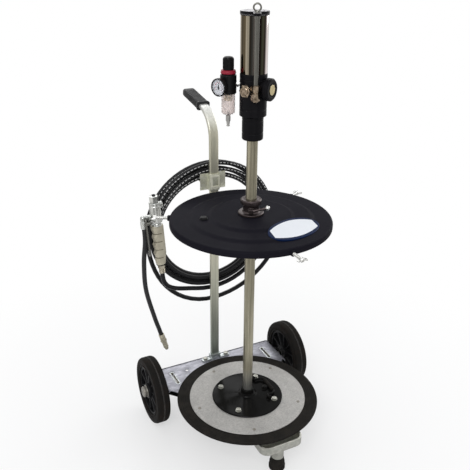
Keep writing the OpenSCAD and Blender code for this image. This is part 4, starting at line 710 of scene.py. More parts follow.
def piece(name, bm, finishes, body, replaced=(), sharp=35):
    # a closed mesh at the origin, riding on its body
    bmesh.ops.remove_doubles(bm, verts=bm.verts, dist=2e-6)
    bmesh.ops.dissolve_degenerate(bm, dist=1e-6, edges=bm.edges)
    bmesh.ops.recalc_face_normals(bm, faces=bm.faces)
    limit = math.radians(sharp)
    for f in bm.faces:
        f.smooth = True
    for e in bm.edges:
        e.smooth = len(e.link_faces) == 2 and e.calc_face_angle(math.pi) < limit
    mesh = bpy.data.meshes.new(name)
    bm.to_mesh(mesh)
    bm.free()
    return settle(name, mesh, finishes, body, replaced)


def settle(name, mesh, finishes, body, replaced=()):
    mesh.name = name
    for finish in finishes:
        mesh.materials.append(finish)
    obj = bpy.data.objects.new(name, mesh)
    bpy.context.collection.objects.link(obj)
    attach(obj, body)
    if replaced:
        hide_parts(*replaced)
    return obj


def repaint(node, finish):
    # a CAD node keeps its shape and gets a finish
    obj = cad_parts[node]
    for s in obj.material_slots:
        s.link = "OBJECT"
        s.material = finish
    if not obj.material_slots:
        obj.data.materials.append(finish)


def ringTree():
    # copies of one shape round a circle, each turned with its place
    tree = bpy.data.node_groups.new("ringOfCopies", "GeometryNodeTree")
    face = tree.interface
    ids = {}
    for name, kind, start in (("Shape", "Geometry", None), ("Count", "Int", 10), ("Radius", "Float", 0.05),
                              ("First Angle", "Float", 0.0), ("Span", "Float", 2 * math.pi),
                              ("Finish", "Material", None)):
        socket = face.new_socket(name, in_out="INPUT", socket_type="NodeSocket" + kind)
        if start is not None:
            socket.default_value = start
        ids[name] = socket.identifier
    face.new_socket("Shape", in_out="OUTPUT", socket_type="NodeSocketGeometry")
    node = tree.nodes.new
    link = tree.links.new
    inside, outside = node("NodeGroupInput"), node("NodeGroupOutput")
    line = node("GeometryNodeMeshLine")
    line.mode = "OFFSET"
    index = node("GeometryNodeInputIndex")
    step = node("ShaderNodeMath")
    step.operation = "DIVIDE"
    angle = node("ShaderNodeMath")
    angle.operation = "MULTIPLY_ADD"
    spin = node("ShaderNodeCombineXYZ")
    along = node("ShaderNodeCombineXYZ")
    rotate = node("ShaderNodeVectorRotate")
    rotate.rotation_type = "Z_AXIS"
    put = node("GeometryNodeSetPosition")
    copies = node("GeometryNodeInstanceOnPoints")
    real = node("GeometryNodeRealizeInstances")
    paint = node("GeometryNodeSetMaterial")
    link(inside.outputs["Count"], line.inputs["Count"])
    line.inputs["Offset"].default_value = (0, 0, 0)
    link(inside.outputs["Span"], step.inputs[0])
    link(inside.outputs["Count"], step.inputs[1])
    link(index.outputs[0], angle.inputs[0])
    link(step.outputs[0], angle.inputs[1])
    link(inside.outputs["First Angle"], angle.inputs[2])
    link(inside.outputs["Radius"], along.inputs[0])
    link(along.outputs[0], rotate.inputs["Vector"])
    link(angle.outputs[0], rotate.inputs["Angle"])
    link(line.outputs[0], put.inputs["Geometry"])
    link(rotate.outputs[0], put.inputs["Position"])
    link(angle.outputs[0], spin.inputs[2])
    link(put.outputs[0], copies.inputs["Points"])
    link(inside.outputs["Shape"], copies.inputs["Instance"])
    link(spin.outputs[0], copies.inputs["Rotation"])
    link(copies.outputs[0], real.inputs[0])
    link(real.outputs[0], paint.inputs["Geometry"])
    link(inside.outputs["Finish"], paint.inputs["Material"])
    link(paint.outputs[0], outside.inputs[0])
    return tree, ids


copyTree, copyIds = ringTree()


def ringOf(bm, count, radius, first=0.0, finish=None, span=360.0, sharp=35):
    # runs the tree on a shape drawn at the origin in millimetres and gives back its mesh
    bmesh.ops.recalc_face_normals(bm, faces=bm.faces)
    for f in bm.faces:
        f.smooth = True
    for e in bm.edges:
        e.smooth = len(e.link_faces) == 2 and e.calc_face_angle(math.pi) < math.radians(sharp)
    mesh = bpy.data.meshes.new("copied")
    bm.to_mesh(mesh)
    bm.free()
    holder = bpy.data.objects.new("copied", mesh)
    bpy.context.collection.objects.link(holder)
    mod = holder.modifiers.new("ring", "NODES")
    mod.node_group = copyTree
    mod[copyIds["Count"]] = count
    mod[copyIds["Radius"]] = float(radius)
    mod[copyIds["First Angle"]] = math.radians(first)
    mod[copyIds["Span"]] = math.radians(span)
    mod[copyIds["Finish"]] = finish
    holder.update_tag()
    graph = bpy.context.evaluated_depsgraph_get()
    made = bpy.data.meshes.new_from_object(holder.evaluated_get(graph))
    holder.modifiers.remove(mod)
    bpy.data.objects.remove(holder)
    return made


def addMesh(bm, mesh, at=None, mat=0):
    part = bmesh.new()
    part.from_mesh(mesh)
    bpy.data.meshes.remove(mesh)
    join(bm, part, at, mat)


# Feed hose, wound on its bracket inwards in front and outwards behind

coil = {
    "diameter": 13, "loops": 5, "innerRadius": 154, "loopStep": 17.5, "sag": 48,
    "startAngle": 255, "endAngle": 350, "hangAngle": 185, "hangShare": 0.236, "turnShift": 0.06,
    "front": 237.3, "pitch": 14.2, "height": 548.56, "lead": 52, "ringsPerLoop": 60, "sides": 20,
    "length": 6.13,
}
gun = {"place": (-164, 215.5, 445), "tilt": 3.9}
gunFrame = trolley @ moved(*gun["place"]) @ turnedBy(-gun["tilt"], "Y")
gunTilt = math.radians(gun["tilt"])
gunDown = Vector((math.sin(gunTilt), 0, -math.cos(gunTilt)))


def easeInOut(x):
    c = min(max(x, 0), 1)
    return c * c * (3 - 2 * c)


def coilRoute():
    c = coil
    turns = c["loops"] + (c["endAngle"] - c["startAngle"]) / 360
    back = turns / 2 - c["turnShift"]
    hang = c["loops"] - (c["startAngle"] - c["hangAngle"]) / 360

    def spot(t):
        a = math.radians(c["startAngle"] + 360 * t)
        hung = c["sag"] * easeInOut((t - hang) / c["hangShare"])
        r = c["innerRadius"] + c["loopStep"] * abs(t - back) + hung
        y = c["front"] + c["pitch"] * easeInOut((t - back) * 2 + 0.5)
        return Vector((r * math.cos(a), y, c["height"] + r * math.sin(a)))

    start = Vector(gun["place"])
    first = start + gunDown * c["diameter"]
    joined = spot(0)
    a = math.radians(c["startAngle"])
    q = joined - Vector((-math.sin(a), 0, math.cos(a))) * c["lead"]
    p = first + gunDown * c["lead"]
    route = [start]
    for k in range(12):
        u = k / 12
        route.append((1 - u) ** 3 * first + 3 * u * (1 - u) ** 2 * p + 3 * u * u * (1 - u) * q
                     + u ** 3 * joined)
    route += [spot(k / c["ringsPerLoop"]) for k in range(int(turns * c["ringsPerLoop"]) + 1)]
    last = spot(turns)
    b = math.radians(c["endAngle"])
    leave = Vector((-math.sin(b), 0, math.cos(b)))
    return route + [last + leave * c["diameter"] * 0.5, last + leave * c["diameter"] * 1.5]


def hoseMesh(name, route, finish, replaced):
    # tube with U round it and V along it in metres
    bm = bmesh.new()
    sides = coil["sides"]
    rings = sweep(bm, route, disc(coil["diameter"] / 2, sides), trolley, caps=False)
    uv = bm.loops.layers.uv.new("lay")
    run = [0.0]
    for a, b in zip(route, route[1:]):
        run.append(run[-1] + (b - a).length / 1000)
    place = {}
    for k, ring in enumerate(rings):
        for j, v in enumerate(ring):
            place[v] = (k, j)
    for f in bm.faces:
        spots = [place[loop.vert] for loop in f.loops]
        wraps = max(s[1] for s in spots) - min(s[1] for s in spots) > 1
        for loop, (k, j) in zip(f.loops, spots):
            loop[uv].uv = ((j + (sides if wraps and j == 0 else 0)) / sides, run[k])
    for ring in (rings[0], rings[-1]):
        bm.faces.new(ring)
    bmesh.ops.recalc_face_normals(bm, faces=bm.faces)
    for f in bm.faces:
        f.smooth = len(f.verts) == 4
    mesh = bpy.data.meshes.new(name)
    bm.to_mesh(mesh)
    bm.free()
    print(name, "length", round(run[-1], 4))
    return settle(name, mesh, [finish], "trolley", [replaced])


feedRoute = coilRoute()
feedHose = hoseMesh("feedHose", feedRoute, coilRubber, "hose_coil")

# Fitting on the free end of the feed hose

hoseEnd = {"sleeve": 17, "sleeveLength": 22, "swivel": 19, "swivelLength": 12, "neck": 6.5}


def crimpedSleeve(bm, d, length, bore, at, mat=0):
    # pressed sleeve with crimp rings and a turned lip
    r = d / 2
    points = [(bore, 0), (r - 0.8, 0, 0.4), (r, 1.2, 0.6)]
    rings = 5
    for k in range(rings):
        z = 3.2 + k * (length - 6.4) / (rings - 1)
        points += [(r, z - 1.1), (r - 0.7, z - 0.5), (r - 0.7, z + 0.5), (r, z + 1.1)]
    points += [(r, length - 1.2, 0.6), (r - 1.4, length, 0.4), (bore, length)]
    turned(bm, points, at, 48, mat, closed=True)


bm = bmesh.new()
s = hoseEnd
endFrame = trolley @ moved(*feedRoute[-1]) @ turnedBy(-coil["endAngle"], "Y")
crimpedSleeve(bm, s["sleeve"], s["sleeveLength"], 4, endFrame)
low = s["sleeveLength"]
high = low + s["neck"]
turned(bm, [(3.2, low - 1), (6.2, low - 1), (6.2, high + 1), (3.2, high + 1)], endFrame, 40, closed=True)
hexagon(bm, s["swivel"], high, high + s["swivelLength"], endFrame, hole=13)
hoseFitting = piece("hoseFitting", bm, [nickelPlate], "trolley", ["hose_end"])

# Delivery hose and its coupler

delivery = {
    "route": [(-207, 224, 540), (-213, 225, 480), (-211, 226, 395), (-190, 226, 300), (-177, 226, 254)],
    "end": (-172, 226, 236), "way": (0.28, 0, -0.96), "outletHeight": 172, "outletDrop": 30,
    "outletOut": 34, "outletSide": 9, "length": 0.36,
}


def deliveryRoute():
    d = delivery
    h = d["outletHeight"] - d["outletDrop"]
    lean, upright = math.sin(gunTilt), math.cos(gunTilt)
    out = d["outletOut"]
    reach = Vector((-lean * h - upright * out, d["outletSide"], upright * h - lean * out))
    start = Vector(gun["place"]) + reach
    end = Vector(d["end"])
    way = Vector(d["way"]).normalized()
    straight = coil["diameter"]
    knots = [start, start + gunDown * straight] + [Vector(p) for p in d["route"]]
    knots += [end - way * straight, end]
    route = [start]
    for i in range(1, len(knots) - 2):
        a, b, c, e = knots[i - 1:i + 3]
        steps = math.ceil((c - b).length / 9)
        for k in range(steps):
            u = k / steps
            route.append((2 * b + (c - a) * u + (2 * a - 5 * b + 4 * c - e) * u * u
                          + (3 * b - a - 3 * c + e) * u ** 3) / 2)
    return route + [end - way * straight, end]


shortRoute = deliveryRoute()
deliveryHose = hoseMesh("deliveryHose", shortRoute, deliveryRubber, "delivery_hose")

couplerSize = {"sleeve": 17, "sleeveLength": 22, "hexLength": 6, "body": 15, "bodyLength": 24, "nose": 12,
               "noseLength": 6}
bm = bmesh.new()
s = couplerSize
way = Vector(delivery["way"]).normalized()
couplerTurn = 180 - math.degrees(math.atan2(way.x, -way.z))
couplerFrame = trolley @ moved(*delivery["end"]) @ turnedBy(couplerTurn, "Y")
crimpedSleeve(bm, s["sleeve"], s["sleeveLength"], 4, couplerFrame)
z = s["sleeveLength"]
hexagon(bm, s["sleeve"], z, z + s["hexLength"], couplerFrame)
z += s["hexLength"]
r, nose = s["body"] / 2, s["nose"] / 2
end = z + s["bodyLength"]
tip = end + s["noseLength"]
turned(bm, [(0, z - 1), (r - 1, z - 1), (r - 1, z + 1), (r, z + 2, 0.5),
            *groove(r, z + 9, 0.6, 0.6, 1.8, 0, 0), (r, end - 2, 0.8), (r - 1.4, end, 0.5),
            (nose, end, 0.4), (nose - 0.6, tip, 0.6), (3, tip, 0.3), (3, end - 4), (0, end - 4)],
       couplerFrame, 48)
greaseCoupler = piece("greaseCoupler", bm, [gunAlloy], "trolley", ["coupler"])
print("hoses made")

# Wheels: solid tyres on moulded rims with ribs

wheel = {
    "x": 226, "y": 163, "z": 97.5, "outer": 97.2, "seam": 97.5, "seat": 71, "half": 19,
    "groove": (75, 79, 1.5), "ringInner": 64, "ringHalf": 15, "hub": 22, "bore": 6.05, "web": 3,
    "ribs": 10, "ribThick": 5, "ribHalf": 13,
}


def tyreProfile():
    w = wheel
    inner, outer, deep = w["groove"]
    h = w["half"]
    side = [(w["seat"], h - 1.2, 0.6), (w["seat"] + 1.2, h, 0.6), (inner - 0.5, h, 0.4),
            (inner, h - deep, 0.5), (outer, h - deep, 0.5), (outer + 0.5, h, 0.4), (w["outer"] - 3, h, 5),
            (w["outer"], h - 7, 7), (w["outer"], 1.1, 0.3), (w["seam"], 0.5, 0.3)]
    return [(r, -z, f) for r, z, f in side] + [(r, z, f) for r, z, f in reversed(side)]


def makeWheel(side, name):
    w = wheel
    inner, seat, hub = w["ringInner"], w["seat"], w["hub"]
    at = trolley @ moved(side * w["x"], w["y"], w["z"]) @ turnedBy(90 * side, "Y")
    body = "wheel_" + name.lower()
    bm = bmesh.new()
    turned(bm, tyreProfile(), at, 144, closed=True)
    r = w["outer"]
    turned(bm, [(r - 0.5, -1.4), (r + 0.05, -1.4, 0.2), (w["seam"], 0, 1.2), (r + 0.05, 1.4, 0.2),
                (r - 0.5, 1.4)], at, 144, 1, closed=True)
    piece("tyre" + name, bm, [tyreRubber, mouldLine], body, ["tyre_" + name.lower()])
    bm = bmesh.new()
    h = w["ringHalf"]
    turned(bm, [(inner, -h, 1), (inner + 2.4, -h, 0.4), (inner + 2.8, -h + 1, 0.3),
                (seat - 1.6, -h + 1, 0.4), (seat - 0.2, -h, 0.6), (seat - 0.1, -h + 2), (seat - 0.1, h - 2),
                (seat - 0.2, h, 0.6), (seat - 1.6, h - 1, 0.4), (inner + 2.8, h - 1, 0.3),
                (inner + 2.4, h, 0.4), (inner, h, 1)], at, 128, closed=True)
    turned(bm, [(hub - 1.5, -w["web"], 0.5), (inner + 1, -w["web"]), (inner + 1, w["web"]),
                (hub - 1.5, w["web"])], at, 96, closed=True)
    q = w["half"]
    turned(bm, [(w["bore"], -q, 0.5), (10, -q, 0.5), (10.6, -q + 1.4, 0.6), (17, -q + 1.4, 0.6),
                (17.6, -q, 0.5), (hub - 1, -q, 1), (hub, -q + 3, 1), (hub, q - 3, 1), (hub - 1, q, 1),
                (17.6, q, 0.5), (17, q - 1.4, 0.6), (10.6, q - 1.4, 0.6), (10, q, 0.5),
                (w["bore"], q, 0.5)], at, 64, closed=True)
    rib = bmesh.new()
    half, thick = w["ribHalf"], w["ribThick"] / 2
    corners = ((-1, -0.9), (-0.7, -1), (0.7, -1), (1, -0.9), (1, 0.9), (0.7, 1), (-0.7, 1), (-1, 0.9))
    stations = ((hub - 2, 1.35, 1.0), (hub + 2, 1.05, 0.97), (hub + 8, 0.85, 0.94),
                (inner - 9, 0.8, 0.94), (inner - 3, 1.0, 0.98), (inner + 1, 1.4, 1.0))
    loftedRings(rib, [[Vector((x, sy * thick * k, sz * half * d)) for sy, sz in corners]
                      for x, k, d in stations])
    addMesh(bm, ringOf(rib, w["ribs"], 0, finish=rimPlastic), at)
    piece("rim" + name, bm, [rimPlastic], body, ["wheel_rim_" + name.lower()])


makeWheel(-1, "Left")
makeWheel(1, "Right")

axle = {"half": 254, "radius": 6, "capStart": 245.3}
bm = bmesh.new()
at = trolley @ moved(0, wheel["y"], wheel["z"]) @ turnedBy(90, "Y")
turned(bm, [(0, -axle["half"]), (axle["radius"], -axle["half"], 0.8), (axle["radius"], axle["half"], 0.8),
            (0, axle["half"])], at, 48)
piece("axleRod", bm, [steelTurned], "trolley", ["axle"])
bm = bmesh.new()
for side in (-1, 1):
    at = trolley @ moved(side * axle["capStart"], wheel["y"], wheel["z"]) @ turnedBy(90 * side, "Y")
    turned(bm, [(0, 8.8), (6.1, 8.8), (6.1, 0), (17.4, 0, 0.5), (18, 0.7, 0.4), (18, 1.7, 0.4),
                (16.5, 2.1, 0.4), (16, 3.2, 0.6), (16, 9.8, 2.6), (14, 12.2, 1.2), (9, 13.6, 4),
                (4.5, 14, 1), (4, 13.2, 0.6), (0, 13)], at, 72)
piece("wheelCaps", bm, [rivetSteel], "trolley", ["axle_caps"])
print("wheels made")

# Trolley base

fork = {
    "half": 62, "thick": 5, "front": -212, "corner": 24, "rear": 187, "low": 84, "high": 106,
    "floorTop": 87, "floorBack": -110, "inset": 2.5, "stopOuter": 194.5, "stopInner": 190.5,
    "stopHalf": 59.5, "sleeve": 17, "sleeveLow": 40, "footY": -178,
}
# own Z points forwards and own Y up
lying = turnedBy(90, "X")
# own Z points to the right, own X back and own Y up
facing = Matrix(((0, 0, 1, 0), (1, 0, 0, 0), (0, 1, 0, 0), (0, 0, 0, 1)))


def weldRing(bm, radius, count, size, at, span=360.0, first=0.0):
    # rippled bead of a weld
    drop = bmesh.new()
    bmesh.ops.create_uvsphere(drop, u_segments=10, v_segments=6, radius=size)
    for v in drop.verts:
        v.co = Vector((v.co.x, v.co.y * 1.5, v.co.z * 0.9))
    addMesh(bm, ringOf(drop, count, radius, first, zinc, span, 180), at)


f = fork
half, front, rear, corner = f["half"], f["front"], f["rear"], f["corner"]
low, high, inset = f["low"], f["high"], f["inset"]
bm = bmesh.new()
t = f["thick"]
plate(bm, [(-half, rear), (-half, front, corner), (half, front, corner),
           (half, rear), (half - t, rear), (half - t, front + t, corner - t),
           (-half + t, front + t, corner - t), (-half + t, rear)],
      low, high, at=trolley, bevel=0.7, steps=10)
e = half - inset
plate(bm, [(-e, f["floorBack"]), (-e, front + inset, corner - inset),
           (e, front + inset, corner - inset), (e, f["floorBack"])],
      low + 0.2, f["floorTop"], at=trolley, bevel=0.5, steps=10)
swing = math.degrees(math.asin(f["stopHalf"] / f["stopInner"]))
plate(bm, bandPoints(f["stopOuter"], f["stopInner"], 24, -90 - swing, -90 + swing), low + 1.5,
      high - 2.2, at=trolley, bevel=0.6)
turned(bm, [(13.1, f["sleeveLow"], 0.5), (f["sleeve"], f["sleeveLow"], 0.8), (f["sleeve"], low + 1),
            (13.1, low + 1)], trolley @ moved(0, f["footY"]), 64, closed=True)
weldRing(bm, f["sleeve"] + 0.4, 44, 1.5, trolley @ moved(0, f["footY"], low - 0.4))
weldRing(bm, f["stopOuter"] + 0.2, 30, 1.3, trolley @ moved(0, 0, f["floorTop"] + 0.2), 2 * swing - 6,
         -90 - swing + 3)
piece("forkFrame", bm, [zinc], "trolley", ["front_fork"])

brace = {"footX": 64.55, "footY": -22, "turnY": 1.2, "endX": 199.8, "endY": 179, "bendY": 152.8, "bend": 9,
         "middle": 95, "half": 11, "thick": 2.5}
bm = bmesh.new()
s = brace
for side in (-1, 1):
    line = filleted([(s["footX"], s["footY"]), (s["footX"], s["turnY"], s["bend"]),
                     (s["endX"], s["bendY"], s["bend"]), (s["endX"], s["endY"])], steps=8)
    path = [Vector((side * p.x, p.y, s["middle"])) for p in line]
    corner = roundedHole(2 * s["half"], 2 * s["thick"], 0.9, steps=3)
    sweep(bm, path, lambda k: corner, trolley, up=(0, 0, 1))
piece("braces", bm, [blackPaint], "trolley", ["side_braces"])

deck = {
    "low": 106, "high": 108, "half": 185, "back": 233, "corner": 119, "inner": 82, "front": -42, "roll": 12,
    "slotX": 153.66, "slotY": 171, "slot": (58, 8), "slotDeep": 9, "embossY": 196, "emboss": 10,
    "holeX": 106.4, "holeY": 193, "hole": 4.5, "foldLow": 89.5, "uprightY": 222,
}
bm = bmesh.new()
d = deck
low, high, half, back, inner = d["low"], d["high"], d["half"], d["back"], d["inner"]
holes = [slotPoints(*d["slot"], s * d["slotX"], d["slotY"]) for s in (-1, 1)]
holes += [circlePoints(d["hole"], s * d["holeX"], d["holeY"], 24) for s in (-1, 1)]
holes.append(roundedHole(26.8, 12.8, 4.2, 0, d["uprightY"]))
plate(bm, [(-half, back - 1), (-half, d["corner"]), (-inner, 0, 4), (-inner, d["front"], 3),
           (inner, d["front"], 3), (inner, 0, 4), (half, d["corner"]), (half, back - 1)],
      low, high, holes, trolley, bevel=0.5)
r = d["roll"]
for side in (-1, 1):
    start = 0 if side > 0 else 90
    band = bandPoints(r, r - 2, 10, start, start + 90)
    plate(bm, band, -back + 0.2, -d["corner"], at=trolley @ moved(side * half, 0, high - r) @ lying,
          bevel=0.3)
    turned(bm, beadPoints(d["emboss"], high - 0.35, 1.6, 1.3),
           trolley @ moved(side * d["slotX"], d["embossY"]), 64, closed=True)
    turned(bm, beadPoints(d["hole"] + 4.5, high - 0.4, 1.5, 1.2),
           trolley @ moved(side * d["holeX"], d["holeY"]), 64, closed=True)
    slot = (side * d["slotX"], d["slotY"])
    length, width = d["slot"]
    # the slot's inner walls in the dark rivet steel: painted shade
    plate(bm, slotPoints(length + 0.1, width + 0.1, *slot), low - d["slotDeep"], high - 0.25,
          [slotPoints(length - 2.6, width - 2.6, *slot)], trolley, bevel=0.3, mat=1)
    # the raised lip round the slot in the paler blue zinc: painted highlight
    slotLip = slotPoints(length + 6.5, width + 6.5, *slot)
    plate(bm, slotLip, high - 0.3, high + 0.5, [slotPoints(length, width, *slot)], trolley, bevel=0.35,
          mat=2)
fold = [(back - 2, d["foldLow"], 0), (back, d["foldLow"], 0), (back, high, 2.6), (back - 6, high),
        (back - 6, low), (back - 2, low, 0.8)]
plate(bm, fold, -half, half, at=trolley @ facing, bevel=0.4)
piece("deckSheet", bm, [deckZinc, rivetSteel, blueZinc], "trolley", ["deck_plate"])

foot = {"base": 22, "top": 17, "height": 40, "studHigh": 70}
bm = bmesh.new()
r, top, height = foot["base"], foot["top"], foot["height"]
at = trolley @ moved(0, fork["footY"])
turned(bm, [(0, 0), (r - 3, 0, 1.2), (r, 3, 1.5), (r, 13, 1.2), (r - 1.4, 15, 0.8),
            (r - 1.4, 24, 0.8), (r - 2.6, 26, 0.8), (top + 0.8, 37, 1.5),
            (top, height, 0.8), (0, height)], at, 72)
turned(bm, [(0, height - 1), (12.5, height - 1), (12.5, foot["studHigh"]), (0, foot["studHigh"])], at, 32)
piece("rubberFoot", bm, [blackRubber], "trolley", ["foot_rubber"])
print("trolley base made")

# Upright with its grip, clamp and bolts

upright = {
    "y": 222, "low": 89.5, "bendZ": 808, "bend": 80, "bendAngle": 80, "straight": 104, "width": 26,
    "depth": 12, "corner": 4, "gripWidth": 35, "gripDepth": 21, "gripLength": 108, "gripGrooves": 9,
    "grooveStart": 14, "groovePitch": 9,
}
u = upright
path = [Vector((0, u["y"], u["low"] + (u["bendZ"] - u["low"]) * k / 12)) for k in range(13)]
for k in range(1, 17):
    a = math.radians(u["bendAngle"]) * k / 16
    path.append(Vector((0, u["y"] + u["bend"] * (1 - math.cos(a)), u["bendZ"] + u["bend"] * math.sin(a))))
last = math.radians(u["bendAngle"])
lead = Vector((0, math.sin(last), math.cos(last)))
path.append(path[-1] + lead * u["straight"])
tubeOutline = roundedHole(u["width"], u["depth"], u["corner"], steps=6)
bm = bmesh.new()
sweep(bm, path, lambda k: tubeOutline, trolley, up=(1, 0, 0))
piece("uprightTube", bm, [upTubeZinc], "trolley", ["upright"])

bm = bmesh.new()
gripAt = (trolley @ moved(0, u["y"] + u["bend"], u["bendZ"]) @ turnedBy(90 - u["bendAngle"], "X")
          @ moved(0, 0, u["bend"]) @ turnedBy(-90, "X"))
w, h, long = u["gripWidth"], u["gripDepth"], u["gripLength"]
# each level is (place along the grip, how much its width and its depth grow, rounding)
levels = [(0, 3, 7.5), (0.6, 3.6, 7.5), (3, 3.6, 7.5), (3.8, 1, 6.5)]
for k in range(u["gripGrooves"]):
    z = u["grooveStart"] + k * u["groovePitch"]
    levels += [(z - 1.6, 0, 6), (z - 0.9, -1.2, 5.6), (z + 0.9, -1.2, 5.6), (z + 1.6, 0, 6)]
levels += [(long - 6, 0, 6), (long - 2.5, -1, 6), (long - 0.6, -3.5, 6), (long, -7, 5)]
loftedRings(bm, [[gripAt @ Vector((p.x, p.y, z))
                  for p in filleted(roundedBox(w + more, h + more, r), True, 8)]
                 for z, more, r in levels])
piece("pushGrip", bm, [gripPlastic], "trolley", ["handle_grip"], sharp=40)

clamp = {"low": 108, "high": 122, "ear": 113, "screwX": 35, "screwY": 214}
c = clamp
hole = roundedHole(u["width"] + 0.2, u["depth"] + 0.2, 4, 0, u["y"])
bm = bmesh.new()
plate(bm, roundedBox(34, 20, 4.5, 0, u["y"]), c["low"], c["high"], [hole], trolley, bevel=0.9)
for side in (-1, 1):
    plate(bm, [(side * 12, 206), (side * 46, 206, 4), (side * 46, 222, 4), (side * 16.5, 222)],
          c["low"] + 0.01, c["ear"], [circlePoints(4.1, side * c["screwX"], c["screwY"], 24)], trolley,
          bevel=0.6)
piece("clampRing", bm, [blueZinc], "trolley", ["upright_clamp"])


def boltShape(bm, grip, at, across=13, head=5.3, radius=4):
    # head with a washer face, shank with thread, nut under what it clamps
    hexagon(bm, across, 0.5, head, at)
    turned(bm, [(0, 0), (across / 2 + 0.2, 0, 0.2), (across / 2 + 0.2, 0.6, 0.2), (0, 0.6)], at, 36)
    turned(bm, [(0, head - 0.2), (3.4, head - 0.2), (3, head + 0.1, 0.2), (0, head + 0.1)], at, 24)
    z = -grip - 2 * radius
    thread = [(0, z), (radius - 1, z)]
    while z < -grip:
        thread += [(radius - 0.1, z + 0.5), (radius - 0.6, z + 1)]
        z += 1
    thread += [(radius, z + 0.8), (radius, 0.3), (0, 0.3)]
    turned(bm, thread, at, 24)
    hexagon(bm, across, -grip - head, -grip - 0.1, at)


bm = bmesh.new()
for side in (-1, 1):
    boltShape(bm, 7, trolley @ moved(side * c["screwX"], c["screwY"], c["ear"]))
    boltShape(bm, 10.05, trolley @ moved(side * 67.05, -11, 95) @ turnedBy(side * 90, "Y"))
piece("trolleyBolts", bm, [zinc], "trolley", ["trolley_bolts"])

bracket = {"low": 666, "high": 714, "half": 38, "hat": 15.55, "thick": 2.5, "front": 213.45, "rear": 230.55,
           "saddleInner": 144.7, "saddleOuter": 147.2, "saddleY": (229.3, 260.8), "lip": 165.2, "angle": 14}
b = bracket
bm = bmesh.new()
r = b["rear"] - b["thick"]
hat = [(-b["half"], b["rear"]), (-b["half"], r), (-b["hat"], r, 1.5), (-b["hat"], b["front"], 3.5),
       (b["hat"], b["front"], 3.5), (b["hat"], r, 1.5), (b["half"], r), (b["half"], b["rear"])]
plate(bm, hat, b["low"], b["high"], [roundedHole(26.1, 12.1, 3, 0, u["y"])], trolley, bevel=0.6)
first, final = 90 - b["angle"], 90 + b["angle"]
saddleAt = trolley @ moved(0, 0, coil["height"]) @ lying
near, far = b["saddleY"]
plate(bm, bandPoints(b["saddleOuter"], b["saddleInner"], 20, first, final), -far, -near, at=saddleAt,
      bevel=0.5)
lip = circlePoints(b["lip"], 0, 0, 20, first + 1.5, final - 1.5)
low = list(reversed(circlePoints(b["saddleInner"] + 0.2, 0, 0, 20, first, final)))
plate(bm, lip + low, -far, -far + b["thick"], at=saddleAt, bevel=0.6)
middle = (b["low"] + b["high"]) / 2
# raised frame round a window on the hat's front, in the paler zinc as a painted highlight on its edges
plate(bm, roundedBox(27, 40, 2.5, 0, middle), -b["front"] - 0.3, -b["front"] + 1.1,
      [roundedBox(17, 25, 2, 1.5, middle + 1.5)], trolley @ lying, bevel=0.5, mat=1)
piece("hoseHanger", bm, [paleZinc, frameHighlightZinc], "trolley", ["hose_bracket"])
print("upright made")

# Pump: tube, neck, valve body, air motor

pumpSize = {
    "tube": 13.5, "wall": 2, "tubeLow": 108.3, "tubeHigh": 888.3, "slotHigh": 120.3, "slotHalf": 21.7,
    "neck": 25.5, "neckLow": 868.3, "bodyLow": 923.3, "body": 32, "bodyHigh": 1024.3, "edge": 3,
    "outletZ": 898.2, "outlet": 7.5, "exhaustZ": 990.3, "plugZ": 988.3, "fittingZ": 978.3, "portZ": 999.3,
    "cylinder": 31.5, "cylinderHigh": 1150.3, "capLow": 1151.8, "capHigh": 1159.8, "cap": 33, "capEar": 9,
    "sideX": 5, "sideY": -43.2116, "transfer": 5.5, "transferLow": 995.8, "transferHigh": 1155.7,
    "neckGrooves": (884, 913), "bodyGrooves": (941, 1010),
}
g = pumpSize
bm = bmesh.new()
r, low, high = g["tube"], g["slotHigh"], g["tubeHigh"]
inner = r - g["wall"]
turned(bm, [(inner, low), (r, low), (r, high, 0.5), (inner, high, 0.5)], pump, 72, closed=True)
for k in range(4):
    start, end = k * 90 + g["slotHalf"], k * 90 + 90 - g["slotHalf"]
    plate(bm, bandPoints(r, inner, 14, start, end), g["tubeLow"], low + 0.05, at=pump, bevel=0.3)
piece("suctionTube", bm, [suctionZinc], "pump", ["suction_tube"])

bm = bmesh.new()
r = g["neck"]
rings = [point for z in g["neckGrooves"] for point in groove(r, z, 0.7, 0.8, 1.8)]
turned(bm, [(g["tube"] + 0.1, g["neckLow"]), (18, g["neckLow"], 0.6), (r, g["neckLow"], 6)] + rings
       + [(r, g["bodyLow"]), (g["tube"] + 0.1, g["bodyLow"])], pump, 96, closed=True)
thread = []
z = 17
while z < 28:
    thread += [(g["outlet"] + 0.5, z), (g["outlet"], z + 0.7)]
    z += 1.4
turned(bm, thread + [(g["outlet"] + 0.8, 28.5, 0.3), (13.5, 28.5, 1.2), (13.5, 17)],
       pump @ radial(180, g["outletZ"]), 64, closed=True)
piece("pumpNeck", bm, [blackAnodised], "pump", ["pump_neck"])

bm = bmesh.new()
e = g["edge"]
wide, low, high = g["body"], g["bodyLow"], g["bodyHigh"]
rings = [point for z in g["bodyGrooves"] for point in groove(wide, z, 0.6, 0.7, 1.6)]
turned(bm, [(6.2, low), (r, low, 0.3), (wide, low + e, 1.2)] + rings
       + [(wide, high - e, 1.2), (g["cylinder"], high, 0.4), (6.2, high)], pump, 128, closed=True)
turned(bm, [(0, 14), (20, 14), (20, 36, 0.8), (0, 36)], pump @ radial(60, g["exhaustZ"]), 72)
turned(bm, [(0, 20), (14.5, 20), (14.5, 33.4, 0.5), (14, 34, 0.3), (0, 34)], pump @ radial(-31, g["plugZ"]),
       64)
turned(bm, [(0, 10), (9, 10), (9, 34, 0.6), (0, 34)], pump @ moved(g["sideX"], 0, g["fittingZ"]) @ lying,
       56)
piece("valveBody", bm, [blackAnodised], "pump", ["valve_body"])

